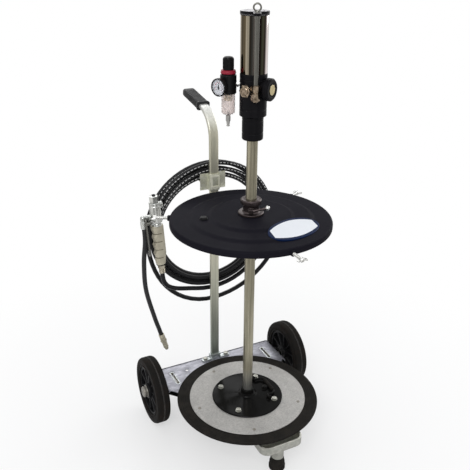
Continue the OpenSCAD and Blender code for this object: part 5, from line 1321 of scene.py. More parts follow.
bm = bmesh.new()
r, top = g["cylinder"], g["cylinderHigh"]
turned(bm, [(r - 3, high), (r, high, 0.3), (r, top, 0.3), (r - 3, top)], pump, 160, closed=True)
piece("motorCylinder", bm, [chromeTube], "pump", ["motor_cylinder"])
bm = bmesh.new()
low = g["capLow"]
turned(bm, [(28.5, top), (32.2, top, 0.5), (32.2, low, 0.5), (28.5, low)], pump, 128, closed=True)
piece("capGasket", bm, [blackRubber], "pump", ["cap_gasket"])

bm = bmesh.new()
q, r = g["capHigh"], g["cap"]
turned(bm, [(0, low), (r, low, 0.4), (r, low + 1.8, 0.2), (r - 0.5, low + 2.1, 0.2), (r, low + 2.4, 0.2),
            (r, q - 1.5, 0.4), (r - 1.5, q, 0.6), (24, q, 0.3), (23.4, q - 0.5, 0.3), (22, q - 0.5, 0.3),
            (21.4, q, 0.3), (0, q)], pump, 128)
x, y = g["sideX"], g["sideY"]
ear = g["capEar"]
nose = [(x + ear * math.cos(a), y + ear * math.sin(a))
        for a in (math.pi + math.pi * k / 24 for k in range(25))]
plate(bm, [(x - ear, 0)] + nose + [(x + ear, 0)], low + 0.05, q - 1.5, at=pump, bevel=0.8)
bmesh.ops.recalc_face_normals(bm, faces=bm.faces)
for f in bm.faces:
    if abs(f.normal.z) < 0.8 and f.calc_center_median().z * 1000 > low + 0.5:
        f.material_index = 1
piece("motorCap", bm, [satinCap, blackAnodised], "pump", ["motor_cap"])

eye = {"z": 1158.3, "stud": 4, "collar": 6.5, "rise": 11.5, "ring": 7.5, "wire": 2.45, "bore": 6}
bm = bmesh.new()
at = pump @ moved(x, y, eye["z"])
stud, r = eye["stud"], eye["collar"]
turned(bm, [(0, -2), (stud, -2), (stud, 0), (r, 0, 0.3), (r, 1.5, 0.5), (stud + 0.3, 1.5, 0.6),
            (3.2, 5.6, 0.6), (0, 5.6)], at, 40)
hoop = []
for k in range(40):
    a = 2 * math.pi * k / 40
    out = eye["ring"] + eye["wire"] * math.cos(a)
    hoop.append((max(out, eye["bore"]), eye["wire"] * math.sin(a)))
turned(bm, hoop, at @ moved(0, 0, eye["rise"]) @ lying, 64, closed=True)
piece("liftingEye", bm, [greySteel], "pump", ["lifting_eye"])

bm = bmesh.new()
r, low, high = g["transfer"], g["transferLow"], g["transferHigh"]
turned(bm, [(0, low), (r, low), (r, high), (0, high)], pump @ moved(x, y), 48)
low, high = g["capLow"] - 5.2, g["capLow"]
turned(bm, [(r, low), (r + 1.7, low, 0.4), (r + 1.7, high), (r, high)], pump @ moved(x, y), 48, closed=True)
piece("transferTube", bm, [greySteel], "pump", ["transfer_tube"])

bm = bmesh.new()
at = pump @ moved(x, y, g["fittingZ"])
hexagon(bm, 18, -9, 9, at)
turned(bm, [(0, 8.5), (7, 8.5), (7, 13.6, 0.4), (0, 13.6)], at, 40)
hexagon(bm, 20, 13.25, 26, at)
turned(bm, [(0, -10), (6, -10), (6, -9), (5.8, -11.5, 2), (3, -14.4, 2), (0, -15)], at, 36)
turned(bm, [(0, 0), (6, 0), (6, 9.3), (0, 9.3)], at @ turnedBy(-90, "X"), 40)
at = pump @ radial(-90, g["portZ"])
turned(bm, [(0, 18), (5.4, 18), (5.4, 39), (0, 39)], at, 36, 1)
hexagon(bm, 14, 34, 38.7, at, 1)
at = pump @ radial(-31, g["plugZ"])
hexagon(bm, 26, 34.4, 39.8, at)
turned(bm, [(0, 34), (13.2, 34, 0.2), (13.2, 34.6, 0.2), (0, 34.6)], at, 48)
turned(bm, [(0, 39), (10, 39), (10, 42.4, 0.6), (9.2, 43, 0.3), (6.4, 43, 0.3), (6, 41.4, 0.3), (0, 41.4)],
       at, 48)
piece("airFittings", bm, [bronzedNickel, brightZinc], "pump", ["air_fittings"])

exhaust = {"start": 36, "thick": 14, "radius": 26, "disc": 12}
r, disk = exhaust["radius"], exhaust["disc"]
bm = bmesh.new()
at = pump @ radial(60, g["exhaustZ"]) @ moved(0, 0, exhaust["start"])
h = exhaust["thick"]
turned(bm, [(5.6, 0), (r - 0.8, 0, 0.6), (r, 1, 0.5), *groove(r, 4.5, 0.6, 0.5, 1), (r, h - 3, 0.6),
            (r - 3, h, 0.6), (16.6, h, 0.5), (15.8, h - 1.2, 0.6), (13.6, h - 1.2, 0.4), (13, h, 0.4),
            (disk + 0.1, h, 0.2), (disk + 0.1, h - 3), (5.6, h - 3)], at, 96, closed=True)
piece("exhaustHousing", bm, [blackAnodised], "pump", ["exhaust_housing"])
bm = bmesh.new()
turned(bm, [(0, h - 3), (disk - 0.05, h - 3), (disk - 0.05, h, 0.4), (disk - 0.8, h + 0.3, 0.3),
            (0, h + 0.3)], at, 64)
piece("exhaustDisc", bm, [sinter], "pump", ["exhaust_disc"])
for node in ("foot_valve", "air_piston", "piston_rod"):
    repaint(node, steelTurned)
print("pump made")

# Filter regulator with its gauge

unitSize = {
    "body": 19, "low": 976.3, "high": 1022.3, "port": 12, "portEnd": 23, "ringHigh": 1030.3,
    "knobLow": 1030.6, "knobHigh": 1059.6, "knob": 13, "stemLow": 1018.7, "bowl": 16, "bowlLow": 928.3,
    "gaugeTurn": -37, "gaugeZ": 995.3, "elementDepth": 20, "drainLow": 899,
}
v = unitSize
bm = bmesh.new()
low, high, r = v["low"], v["high"], v["body"]
turned(bm, [(14.05, low + 4), (14.05, low), (17, low, 0.4), (r, low + 2, 1), (r, low + 6, 0.3),
            (r - 0.5, low + 6.6, 0.3), (r - 0.5, low + 8, 0.3), (r, low + 8.6), (r, high - 4, 1),
            (r - 4, high, 0.6), (8.1, high, 0.3), (8.1, high - 4), (4, high - 4), (4, low + 4)], regulator,
       72, closed=True)
for angle, bore in ((-90, 5.7), (90, 5.5)):
    thread = []
    z = 14
    while z < v["portEnd"] - 1:
        thread += [(bore + 0.4, z), (bore, z + 0.6)]
        z += 1.2
    end, wide = v["portEnd"], v["port"]
    boss = [(bore + 0.7, end, 0.2), (wide - 1, end, 0.8), (wide, end - 1.2, 0.6), (wide, 14)]
    turned(bm, thread + boss if angle < 0 else [(bore, 8), (bore, 18.8), (10, 18.8, 0.4), (10.4, 8)],
           regulator @ radial(angle, g["portZ"]), 48, closed=True)
turned(bm, [(0, 10), (12, 10), (12, 23.4, 0.6), (0, 23.4)], regulator @ radial(v["gaugeTurn"], v["gaugeZ"]),
       48)
nub = bmesh.new()
block(nub, (r - 1.5, -1.2, high - 13), (r + 0.2, 1.2, high - 4.6), 0.4)
addMesh(bm, ringOf(nub, 12, 0, 15, glossPlastic), regulator)
piece("regulatorBody", bm, [glossPlastic], "pump", ["regulator_body"])

bm = bmesh.new()
turned(bm, [(8.1, high), (17.4, high, 0.3), (18, high + 0.6, 0.4), (18, high + 3.4, 0.4),
            (17.2, high + 4.2, 0.3), (17, high + 5, 0.3), (17, v["ringHigh"] - 0.8, 0.5),
            (16.2, v["ringHigh"], 0.4), (8.1, v["ringHigh"])], regulator, 80, closed=True)
piece("regulatorRing", bm, [crimson], "pump", ["regulator_ring"])

bm = bmesh.new()
low, high, r = v["knobLow"], v["knobHigh"], v["knob"]
turned(bm, [(0, v["stemLow"]), (8, v["stemLow"]), (8, low), (r - 0.6, low, 0.5), (r - 0.2, low + 3, 0.4),
            (r - 0.9, low + 3.4), (r - 0.9, high - 5, 0.6), (r - 1.6, high - 2, 1.5), (r - 4, high, 1.2),
            (6.6, high, 0.5), (6.2, high - 0.6, 0.4), (0, high - 0.6)], regulator, 72)
rib = bmesh.new()
stations = ((low + 3.2, 0), (high - 6, 0), (high - 3.6, 0.6), (high - 2.2, 1.4))
loftedRings(rib, [[Vector((a, b * 0.85, z))
                   for a, b in ((r - 1.6, -0.9), (r - 0.35 - d, -0.62), (r - 0.05 - d, -0.2),
                                (r - 0.05 - d, 0.2), (r - 0.35 - d, 0.62), (r - 1.6, 0.9))]
                  for z, d in stations])
addMesh(bm, ringOf(rib, 26, 0, finish=glossPlastic), regulator)
piece("pressureKnob", bm, [glossPlastic], "knob", ["regulator_knob"])

bm = bmesh.new()
low = v["bowlLow"]
outer, inner = v["bowl"], v["bowl"] - 2
turned(bm, [(3.1, low), (outer, low, 8), (outer, low + 40), (outer + 0.01, low + 48), (inner, low + 48),
            (inner, low + 2.05, 6), (3.1, low + 2.05)], regulator, 80, closed=True, steps=10)
piece("filterBowl", bm, [bowlClear], "pump", ["filter_bowl"])

bm = bmesh.new()
z = v["low"] + 4 - v["elementDepth"]
rows = [(0, z), (9.2, z, 0.6), (10, z + 1, 0.4)]
for k in range(8):
    rows += [(10, z + 2 + k * 2), (9.4, z + 2.6 + k * 2), (9.4, z + 3.2 + k * 2), (10, z + 3.8 + k * 2)]
turned(bm, rows + [(10, z + v["elementDepth"]), (7, z + v["elementDepth"]), (7, z + 3), (0, z + 3)],
       regulator, 64)
piece("filterElement", bm, [sinter], "pump", ["filter_element"])

bm = bmesh.new()
z = v["drainLow"]
turned(bm, [(2, z + 1), (2, z), (3.4, z, 0.3), (4, z + 0.8, 0.3), (4, z + 2.2, 0.3), (3.2, z + 3, 0.4),
            (3.2, z + 5.6, 0.4), (4, z + 6.4, 0.3), (4, z + 12), (5, z + 12, 0.3), (5.5, z + 12.7, 0.3),
            (5.5, z + 25.3, 0.4), (4.8, z + 26, 0.3), (3, z + 26), (3, z + 35), (0, z + 35), (0, z + 1)],
       regulator, 48)
knurl = bmesh.new()
block(knurl, (5.1, -0.3, z + 14), (5.6, 0.3, z + 24), 0.15)
addMesh(bm, ringOf(knurl, 30, 0, finish=nickelPlate), regulator)
piece("drainValve", bm, [discZinc], "drain", ["drain_valve"])

gauge = {"back": 23.9, "face": 38.6, "case": 18, "bezel": 20.5, "dialDepth": 5, "needleRise": 0.3}
a = gauge
gaugeAt = regulator @ radial(v["gaugeTurn"], v["gaugeZ"])
face = a["face"]
bm = bmesh.new()
r, bezel, seat = a["case"], a["bezel"], face - a["dialDepth"]
turned(bm, [(1.6, a["back"]), (r - 3, a["back"], 0.6), (r, a["back"] + 1.6, 1), (r, face - 10),
            (19.8, face - 10, 0.5), (bezel, face - 9, 0.6), (bezel, face - 1.4, 1), (19.4, face, 0.6),
            (r + 0.5, face, 0.3), (r, face - 0.6, 0.2), (r, seat), (1.6, seat)], gaugeAt, 96, closed=True)
piece("gaugeCase", bm, [glossPlastic], "pump", ["gauge_case"])
bm = bmesh.new()
turned(bm, [(1.6, seat), (17.9, seat), (17.9, face - 4.1, 0.2), (17.4, face - 4, 0.1), (1.6, face - 4)],
       gaugeAt, 80, closed=True)
tick = bmesh.new()
block(tick, (11.9, -0.35, face - 4.02), (15.6, 0.35, face - 3.93), 0.02)
addMesh(bm, ringOf(tick, 9, 0, -45, inkBlack, 360 * 9 / 12), gaugeAt, 1)
tick = bmesh.new()
block(tick, (13.8, -0.15, face - 4.02), (15.6, 0.15, face - 3.94), 0.02)
addMesh(bm, ringOf(tick, 41, 0, -45, inkBlack, 270 * 41 / 40), gaugeAt, 1)
plate(bm, bandPoints(11.2, 10.5, 48, -45, 225), face - 4.02, face - 3.95, at=gaugeAt, bevel=0, mat=2)
for k in range(6):
    label = bpy.data.curves.new("figure", "FONT")
    label.body = str(k * 2)
    label.size = 3.6
    label.align_x = "CENTER"
    label.align_y = "CENTER"
    shape = bpy.data.objects.new("figure", label)
    bearing = math.radians(225 - 54 * k)
    spot = moved(8.3 * math.cos(bearing), 8.3 * math.sin(bearing), face - 3.95)
    flat = bpy.data.meshes.new_from_object(shape)
    addMesh(bm, flat, gaugeAt @ spot, 1)
    bpy.data.objects.remove(shape)
    bpy.data.curves.remove(label)
piece("gaugeDial", bm, [dialWhite, inkBlack, crimson], "pump", ["gauge_dial"])
bm = bmesh.new()
low = face - 4 + a["needleRise"]
plate(bm, [(-0.8, -5.4), (0.8, -5.4), (0.8, 0), (0.35, 11.7), (-0.35, 11.7), (-0.8, 0)], low, low + 0.8,
      at=gaugeAt, bevel=0.12)
turned(bm, [(0, low - 1.2), (1.45, low - 1.2), (1.45, low), (2.3, low, 0.1), (2.3, low + 1, 0.2),
            (0, low + 1.1)], gaugeAt, 32)
piece("gaugeNeedle", bm, [inkBlack], "needle", ["gauge_needle"])
bm = bmesh.new()
turned(bm, [(0, face - 2), (17.9, face - 2), (17.9, face - 1.2, 0.2), (12, face - 1.05, 6), (0, face - 1)],
       gaugeAt, 80)
piece("gaugeLens", bm, [lensClear], "pump", ["gauge_lens"])
print("regulator made")

# Drum lid with its plug, bare oval plate, collar, lever and wing screws


def screwAt(angle):
    # own Z points outwards from the axis at the height of the wing screws
    return trolley @ moved(0, 0, lid["screwZ"]) @ turnedBy(angle) @ turnedBy(90, "Y")


lid = {
    "top": 677, "hole": 15, "stepOne": (99.5, 111.5), "stepTwo": (148.7, 160.7), "mid": 672, "low": 667,
    "rim": 205, "bottom": 651, "sheet": 1.5, "edge": 7, "screwZ": 656.5, "screws": (-90, 150, 30),
    "plug": (-117, 27),
}
w = lid
top, mid, low = w["top"], w["mid"], w["low"]
a, b = w["stepOne"]
c, d = w["stepTwo"]
t = w["sheet"]
hole, rim, foot, edge = w["hole"], w["rim"], w["bottom"], w["edge"]
bm = bmesh.new()
turned(bm, [(hole, top, 0.4), (a, top, 18), (b, mid, 18), (c, mid, 18), (d, low, 18), (rim, low, edge),
            (rim, foot + 2.4, 0.6), (rim - 0.3, foot, 1), (rim - 2.6, foot, 1),
            (rim - 2.2, foot + 2.6, 0.8), (rim - t, foot + 3.4), (rim - t, low - t, edge - t),
            (d - 0.4, low - t, 18), (c - 0.4, mid - t, 18), (b - 0.4, mid - t, 18), (a - 0.4, top - t, 18),
            (hole, top - t, 0.4)], trolley, 256, closed=True, steps=6)
for angle in w["screws"]:
    at = screwAt(angle)
    hexagon(bm, 13, rim - 0.6, rim + 6.2, at @ turnedBy(30), hole=8.1)
    weldRing(bm, 7.2, 18, 0.9, at @ moved(0, 0, rim - 0.2))
piece("drumLid", bm, [lidPaint, zinc], "drum_lid", ["lid"], sharp=40)

bm = bmesh.new()
x, y = w["plug"]
at = trolley @ moved(x, y, mid)
turned(bm, [(0, -4.4), (8.9, -4.4, 0.3), (9.4, -3.6, 0.4), (8.9, -1.6), (8.9, 0), (10.2, 0, 0.3),
            (10.5, 0.5, 0.3), (10.3, 2.5, 0.6), (9, 3, 0.4), (8.7, 5.2, 1), (6, 6, 1.2), (2.4, 5.6, 1),
            (0, 5.5)], at, 48)
piece("lidPlug", bm, [rimPlastic], "drum_lid", ["lid_plug"])

oval = {"x": 54.5, "y": -119, "turn": 9.8, "lean": 0.29, "half": (77.5, 44.5), "field": (66.8, 35.8),
        "fieldEnd": 16, "thick": 0.4, "sides": 180, "fall": 0.0775, "bow": 0.0005}
lidFace = filleted([(hole, top), (a, top, 18), (b, mid, 18), (c, mid, 18), (d, low, 18), (rim, low)],
                   steps=6)


def lidHeight(r):
    # height of the lid's face this far from its middle
    for near, far in zip(lidFace, lidFace[1:]):
        if r <= far.x:
            return near.y + (far.y - near.y) * (r - near.x) / (far.x - near.x)
    return lidFace[-1].y


def plateHeight(r):
    # the stiff plate rests on the edges of the two steps and spans the hollows below them
    q = oval
    out = max(0, r - lid["stepOne"][0])
    return max(lidHeight(r), lid["top"] - q["fall"] * out - q["bow"] * out ** 2)


def fieldReach(edge):
    # share of the way to the border's edge at which the pale field ends: two arches between cut ends
    q = oval
    long, high = q["field"]
    bow = (high - q["fieldEnd"]) * (edge.x / long) ** 2
    if bow > 1e-6:
        arch = (math.sqrt(edge.y ** 2 + 4 * bow * high) - abs(edge.y)) / (2 * bow)
    else:
        arch = high / abs(edge.y)
    return min(arch, long / max(abs(edge.x), 1e-6))


def ovalRing(bm, share, rise):
    # up to 1 the ring lies in the pale field, from 1 to 2 in the border round it
    q = oval
    swing = math.radians(q["turn"])
    verts = []
    for k in range(q["sides"]):
        t = 2 * math.pi * k / q["sides"]
        edge = Vector((q["half"][0] * math.cos(t), q["half"][1] * math.sin(t)))
        inner = edge * fieldReach(edge)
        spot = inner * share if share <= 1 else inner.lerp(edge, share - 1)
        along = spot.x + q["lean"] * spot.y
        x = q["x"] + along * math.cos(swing) - spot.y * math.sin(swing)
        y = q["y"] + along * math.sin(swing) + spot.y * math.cos(swing)
        height = (plateHeight if rise > 0 else lidHeight)(math.hypot(x, y)) + rise
        verts.append(bm.verts.new(trolley @ Vector((x, y, height))))
    return verts


def makeOvalPlate():
    # thin plate pressed on the lid, bare but for its border
    bm = bmesh.new()
    q = oval
    shares = [k / 24 for k in range(1, 25)] + [1 + k / 5 for k in range(1, 5)] + [1.93]
    reach = math.hypot(q["x"], q["y"])
    faceRings = [[bm.verts.new(trolley @ Vector((q["x"], q["y"], plateHeight(reach) + q["thick"])))]]
    faceRings += [ovalRing(bm, share, q["thick"]) for share in shares]
    faceRings += [ovalRing(bm, 2, 0.05), ovalRing(bm, 2, -0.2)]
    for k, (near, far) in enumerate(zip(faceRings, faceRings[1:])):
        bridge(bm, near, far, 1 if k < 24 else 0)
    underRings = [faceRings[-1]] + [ovalRing(bm, share, -0.2) for share in reversed(shares[3::4])]
    underRings.append([bm.verts.new(trolley @ Vector((q["x"], q["y"], lidHeight(reach) - 0.2)))])
    for near, far in zip(underRings, underRings[1:]):
        bridge(bm, near, far, 0)
    piece("ovalPlate", bm, [plateBlue, plateWhite], "drum_lid")


makeOvalPlate()

collar = {"flange": 32.5, "flangeHigh": 6, "neck": 20, "ring": 26.5, "ringLow": 27, "high": 40,
          "bore": 13.55, "screwZ": 693.5, "ball": 6, "ballOut": 42}
q = collar
wide, step, neck, bore = q["flange"], q["flangeHigh"], q["neck"], q["bore"]
r, low, high = q["ring"], q["ringLow"], q["high"]
bm = bmesh.new()
turned(bm, [(bore, 0, 0.3), (wide - 0.6, 0, 0.4), (wide, 0.8, 0.5), (wide, step - 1.6, 1.2),
            (wide - 2, step, 0.8), (neck + 2.5, step, 2), (neck, step + 3, 1.5),
            (neck, low - 2, 1.2), (neck + 2.5, low, 0.8), (r - 1.6, low, 1),
            (r, low + 1.8, 1), (r, high - 2.4, 1.2), (r - 2.2, high, 1),
            (18, high, 0.6), (17.4, high - 1, 0.4), (bore + 0.6, high - 1, 0.4), (bore, high - 1.6)],
       pump @ moved(0, 0, top), 96, closed=True)
at = pump @ radial(0, q["screwZ"])
turned(bm, [(0, 16), (8, 16), (8, 25.8, 0.6), (7.2, 26.8, 0.4), (4.1, 26.8), (4.1, 20), (0, 20)], at, 48)
piece("lidCollar", bm, [castDark], "drum_lid", ["lid_collar"])
bm = bmesh.new()
turned(bm, [(0, 13.9), (3, 13.9, 0.6), (3.9, 15), (3.9, 27), (6.2, 27.1, 0.3), (6.5, 27.8, 0.3),
            (6.5, 33.2, 0.8), (5.6, 34.1, 0.5), (0, 34.1)], at, 40)
arm = at @ turnedBy(14) @ moved(0, 0, 30.6) @ turnedBy(90, "Y")
turned(bm, [(0, 1), (3.4, 1), (3.5, 10, 4), (2.9, 22, 6), (3.3, 38, 3), (3.2, 41), (0, 41)], arm, 36)
out, r = q["ballOut"], q["ball"]
ball = [(r * math.sin(math.pi * k / 18), out - r * math.cos(math.pi * k / 18)) for k in range(1, 18)]
turned(bm, [(0, out - r)] + ball + [(0, out + r)], arm, 40, mat=1)
piece("clampLever", bm, [castDark, brightZinc], "clamp_lever", ["collar_lever"], sharp=40)

# tip, thread and boss are distances from the pump's axis
wing = {"tip": 199.5, "thread": 200.4, "boss": 238, "crest": 3.95, "root": 3.35, "pitch": 1.25}
for angle, name in zip(w["screws"], ("Front", "Left", "Right")):
    at = screwAt(angle)
    bm = bmesh.new()
    z, boss = wing["thread"], wing["boss"]
    rows = [(0, wing["tip"]), (2.8, wing["tip"], 0.4), (3.4, wing["tip"] + 0.7)]
    while z < boss - 0.6:
        rows += [(wing["crest"], z + 0.3), (wing["crest"], z + 0.6), (wing["root"], z + 0.95)]
        z += wing["pitch"]
    turned(bm, rows + [(3.4, boss), (5.2, boss + 1, 0.5), (6, boss + 2.5, 0.8), (5.6, boss + 8.5, 1.5),
                       (3.4, boss + 11.4, 1.5), (0, boss + 11.5)], at, 40)
    half = filleted([(0, boss + 2), (4.6, boss + 2), (7.6, boss + 0.6, 3), (11.2, boss + 2.2, 4),
                     (13, boss + 7, 3), (12.4, boss + 13, 2.4), (8.2, boss + 12.4, 2.4),
                     (5, boss + 8.6, 2.5), (0, boss + 8.2)], steps=5)
    outline = [tuple(p) for p in half] + [(-p.x, p.y) for p in reversed(half[1:-1])]
    plate(bm, outline, -1.45, 1.45, at=at @ facing, bevel=0.8)
    piece("wingScrew" + name, bm, [brightZinc], "wing_" + name.lower(),
          ["wing_screw_" + name.lower()])
print("lid made")

# Follower plate with its bail

follow = {
    "lipLow": 108.3, "lipHigh": 113.3, "lip": 199.5, "inner": 36, "discHigh": 115.8, "disc": 164,
    "hub": 99.5, "boltRing": 80, "boltZ": 121.5, "rivetRing": 146, "rivets": 5, "rivetTurn": 34,
    "ventX": 55, "ventY": -2, "ventZ": 125.85, "bailX": 44, "bailZ": 127.3, "earY": 48, "earHalf": 2.5,
    "earX": 6, "ridge": 171, "ridgePitch": 5.5, "ridges": 4,
}
s = follow
bm = bmesh.new()
low, high = s["lipLow"], s["lipHigh"]
ridges = []
for k in range(s["ridges"]):
    r = s["ridge"] + k * s["ridgePitch"]
    ridges += [(r, high, 0.2), (r + 0.5, high - 0.45, 0.2), (r + 1.6, high - 0.45, 0.2),
               (r + 2.1, high, 0.2)]
turned(bm, [(s["inner"], low), (s["lip"] - 2, low, 0.6), (s["lip"], low + 2.5, 1),
            (s["lip"] - 2.4, high, 0.8)] + ridges[::-1] + [(166, high, 0.3), (s["inner"], high)], trolley,
       256, closed=True)
piece("followerLip", bm, [blackRubber], "follower", ["follower_lip"], sharp=45)
bm = bmesh.new()
z, y = s["discHigh"], high
r, inner = s["disc"], s["inner"]
turned(bm, [(inner, y + 0.02), (r - 0.5, y + 0.02, 0.3), (r, y + 0.9, 0.4), (r, z - 0.9, 0.6),
            (r - 1, z, 0.4), (inner, z)], trolley, 256, closed=True)
piece("followerDisc", bm, [discZinc], "follower", ["follower_disc"])

bm = bmesh.new()
r = s["hub"]
turned(bm, [(13.6, z), (r - 0.6, z, 0.4), (r, z + 0.8, 0.5), (r, z + 2, 0.8), (r - 2.2, z + 4, 1.5),
            (60, z + 6, 20), (26, z + 8, 3), (22, z + 12, 2.5), (18.6, z + 12.4, 0.8), (18, z + 14, 0.6),
            (18, z + 24.6, 1.2), (16.4, z + 26, 0.8), (14.4, z + 26, 0.4), (13.6, z + 25)], trolley, 160,
       closed=True)
for side in (-1, 1):
    x, e = s["bailX"], s["earX"]
    ear = [(x - e, 2), (x + e, 2), (x + e, 10, 2), (x + e - 1, 16.5, 4.5), (x - e + 1, 16.5, 4.5),
           (x - e, 10, 2)]
    middle = -side * s["earY"]
    plate(bm, ear, middle - s["earHalf"], middle + s["earHalf"], at=trolley @ moved(0, 0, z) @ lying,
          bevel=0.7)
turned(bm, [(0, z + 3), (9.6, z + 3), (9, z + 6.4, 1), (9, z + 9.2, 0.8), (8.2, z + 10, 0.5), (0, z + 10)],
       trolley @ moved(s["ventX"], s["ventY"]), 48)
piece("followerHub", bm, [glossPaint], "follower", ["follower_hub"])

bm = bmesh.new()
for k in range(4):
    a = math.radians(45 + 90 * k)
    at = (trolley @ moved(s["boltRing"] * math.cos(a), s["boltRing"] * math.sin(a), s["boltZ"])
          @ turnedBy(45 + 90 * k + 17 * k))
    hexagon(bm, 13, 0.7, 5.3, at)
    turned(bm, [(0, -12.9), (4, -12.9, 0.5), (4, -0.4), (8.3, -0.4, 0.2), (8.3, 0.8, 0.3), (0, 0.8)], at,
           40)
    turned(bm, [(0, 5.1), (3.4, 5.1), (3, 5.6, 0.3), (0, 5.7)], at, 24)
piece("followerBolts", bm, [zinc], "follower", ["follower_bolts"])
bm = bmesh.new()
for k in range(s["rivets"]):
    a = math.radians(s["rivetTurn"] + 360 * k / s["rivets"])
    at = trolley @ moved(s["rivetRing"] * math.cos(a), s["rivetRing"] * math.sin(a), z)
    turned(bm, [(0, -7), (2.25, -7), (2.25, 0), (4.5, 0, 0.2), (4.6, 0.6, 0.4), (3.9, 1.6, 0.8),
                (2.6, 1.7, 0.5), (1.9, 0.5, 0.4), (0, 0.4)], at, 28)
piece("followerRivets", bm, [rivetSteel], "follower", ["follower_rivets"])

bm = bmesh.new()
x, y = s["bailX"], 53
line = filleted([(x, -y), (x, -38, 3.8), (x + 26, -38, 12), (x + 26, 38, 12), (x, 38, 3.8), (x, y)],
                steps=10)
spread = [line[0], (line[0] + line[1]) / 2] + line[1:-1] + [(line[-1] + line[-2]) / 2, line[-1]]
path = [Vector((p.x, p.y, s["bailZ"])) for p in spread]
sweep(bm, path, disc(3.5, 28), trolley, up=(0, 0, 1))
turned(bm, [(3.4, -25), (4.6, -25, 0.5), (5.5, -23.5, 1), (5.5, -12, 1), (5, -11, 0.5), (5, -9, 0.5),
            (5.5, -8, 1), (5.5, 8, 1), (5, 9, 0.5), (5, 11, 0.5), (5.5, 12, 1), (5.5, 23.5, 1),
            (4.6, 25, 0.5), (3.4, 25)], trolley @ moved(x + 26, 0, s["bailZ"]) @ turnedBy(-90, "X"), 40, 1,
       closed=True)
piece("bail", bm, [blackPaint, blackRubber], "bail", ["bail_handle"], sharp=50)
bm = bmesh.new()
at = trolley @ moved(s["ventX"], s["ventY"], s["ventZ"])
hexagon(bm, 13, 0, 4, at)
turned(bm, [(0, -5), (4.4, -5), (4.4, 0.5), (0, 0.5)], at, 32)
turned(bm, [(0, 3.9), (3.2, 3.9), (2.8, 4.3, 0.2), (1.4, 4.3, 0.1), (1.2, 3.2), (0, 3.2)], at, 28)
piece("ventPlug", bm, [blackPaint], "follower", ["vent_plug"])
print("follower made")

# Grease control gun

grip = {
    "low": 28, "high": 150, "half": 17, "depth": 13, "corner": 10, "grooveRadius": 20, "grooveHalf": 6,
    "taper": 0.3, "head": 15, "headLow": 147, "headHigh": 216, "nutHigh": 234, "pivot": (-18.3, -7, 164),
    "outlet": (-34, 9, 172),
}
q = grip
bm = bmesh.new()
rings = []
count = 123
grooveLevels = [q["low"] + (q["high"] - q["low"]) * i / 5 for i in range(1, 5)]
for k in range(count):
    part = k / (count - 1)
    z = q["low"] + (q["high"] - q["low"]) * part
    left, right, deep = -q["half"], q["half"], q["depth"]
    if part < q["taper"]:
        left += 3 * (1 - part / q["taper"])
        right -= 6 * (1 - part / q["taper"])
    offs = [z - level for level in grooveLevels]
    for off in offs:
        if abs(off) < 10.5:
            left = max(left, -q["half"] + math.sqrt(q["grooveRadius"] ** 2 - off * off) - 17)
    edge = min(z - q["low"], q["high"] - z)
    shrink = 2.4 * (1 - min(edge / 4, 1)) ** 2
    w, h = right - left - 2 * shrink, 2 * deep - 2 * shrink
    hollow = max(0, *(1 - (off / q["grooveHalf"]) ** 2 for off in offs))
    ring = []
    for p in filleted(roundedBox(w, h, min(q["corner"], h / 2 - 0.5), (left + right) / 2), True, 8):
        # the grooves run round to the faces and fade out to the back
        hold = min(max((right - p.x) / (right - left) * 1.6 - 0.45, 0), 1)
        ring.append(gunFrame @ Vector((p.x, p.y * (1 - 0.13 * hollow * hold), z)))
    rings.append(ring)
loftedRings(bm, rings)
bmesh.ops.recalc_face_normals(bm, faces=bm.faces)
# faces along the middles of the grooves, on the grooved side, take the darker copy as painted shade
back = gunFrame.inverted()
for f in bm.faces:
    spot = back @ f.calc_center_median()
    if min(abs(spot.z - level) for level in grooveLevels) < 1.3 and spot.x < 3:
        f.material_index = 3
turned(bm, [(9, -1.6), (12.2, -1.6, 0.8), (12.9, 0, 1.2), (12.2, 1.6, 0.8), (9, 1.6)],
       gunFrame @ moved(-1, 0, q["low"]), 48, 4, closed=True)
head, low, high = q["head"], q["headLow"], q["headHigh"]
rings = groove(head, low + 8, 0.8, 1, 2, 0.4, 0.4) + groove(head, high - 10, 0.8, 1, 1.6, 0.4, 0.4)
turned(bm, [(0, low), (13.6, low, 0.6), (head, low + 1.6, 1)] + rings
       + [(head, high - 1.6, 1), (13.4, high, 0.5), (0, high)], gunFrame, 72, mat=1)
hexagon(bm, 22, high - 0.5, q["nutHigh"], gunFrame, mat=1, hole=9)
turned(bm, [(3.6, high + 6), (5, high + 6), (5, q["nutHigh"] + 2.4, 0.3), (4.6, q["nutHigh"] + 3, 0.3),
            (3.6, q["nutHigh"] + 3)], gunFrame, 40, closed=True, mat=2)
at = gunFrame @ moved(0, 0, 205) @ turnedBy(90, "Y")
turned(bm, [(0, 8), (9.5, 8), (9.5, 17.5, 0.5), (8.9, 18.2, 0.3), (8.9, 19.4, 0.3), (9.5, 20, 0.3),
            (8.8, 21, 0.4), (4, 21, 0.3), (3.6, 19.6, 0.3), (0, 19.6)], at, 48, mat=1)
px, py, pz = q["pivot"]
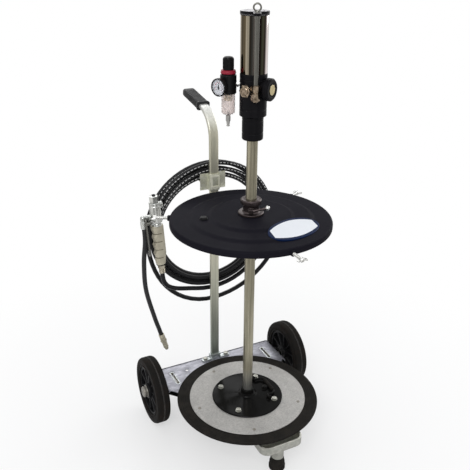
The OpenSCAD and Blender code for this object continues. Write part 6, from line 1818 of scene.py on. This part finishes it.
for near in (py - 9.25, py + 6.35):
    plate(bm, [(-5, pz - 6), (px - 0.5, pz - 6, 4), (px - 2.9, pz, 3), (px - 0.5, pz + 6, 4), (-5, pz + 6)],
          -near - 2.9, -near, [circlePoints(2.6, px, pz, 24)], gunFrame @ lying, bevel=0.5, mat=1)
piece("gunBody", bm, [gunAlloy, polishedAlloy, inkBlack, paintedGrooveShade, blackRubber], "trolley",
      ["gun_body"], sharp=40)

bm = bmesh.new()
at = gunFrame @ moved(px, py, pz)
turned(bm, [(0, -10.5), (2, -10.5, 0.3), (2.5, -10, 0.2), (2.5, 10, 0.2), (2, 10.5, 0.3), (0, 10.5)],
       at @ turnedBy(90, "X"), 32)
block(bm, (-15.2, -5.9, -6), (3, 5.9, 0), 0.9, at)
lever = gunFrame @ moved(px - 15, py, 0) @ facing
outline = [(-6, 70, 3), (-5, 62.4, 4.5), (5, 62.4, 4.5), (6, 70, 3), (6, 166, 3), (4.6, 172.6, 4.4),
           (-4.6, 172.6, 4.4), (-6, 166, 3)]
plate(bm, outline, 0, 3, at=lever, bevel=0.9)
plate(bm, [(-3.6, 76, 2), (3.6, 76, 2), (3.6, 150, 2), (-3.6, 150, 2)], -0.5, 0.3, at=lever, bevel=0.4)
piece("gunTrigger", bm, [greySteel], "trigger", ["gun_trigger"])

bm = bmesh.new()
crimpedSleeve(bm, 17, 17, 4, gunFrame)
hexagon(bm, 19, 16, 28, gunFrame)
turned(bm, [(0, 27), (5.4, 27), (5.4, 33), (0, 33)], gunFrame, 32)
ox, oy, oz = q["outlet"]
at = gunFrame @ moved(ox, oy, oz)
crimpedSleeve(bm, 17, 21.5, 4, at @ moved(0, 0, -30), 1)
dome = [(7.3 * math.cos(math.pi / 2 * k / 8), 7.3 * math.sin(math.pi / 2 * k / 8)) for k in range(8)]
turned(bm, [(0, -10), (7.3, -10, 0.4), (7.3, -3)] + dome + [(0, 7.3)], at, 40, 1)
turned(bm, [(0, 0), (6, 0), (6, 9), (6.8, 9.6, 0.3), (6.8, 13.4, 0.3), (6, 14), (6, 22), (0, 22)],
       at @ turnedBy(90, "Y"), 40, 1)
piece("gunFittings", bm, [nickelPlate, polishedAlloy], "trolley", ["gun_fittings"])
print("gun made")
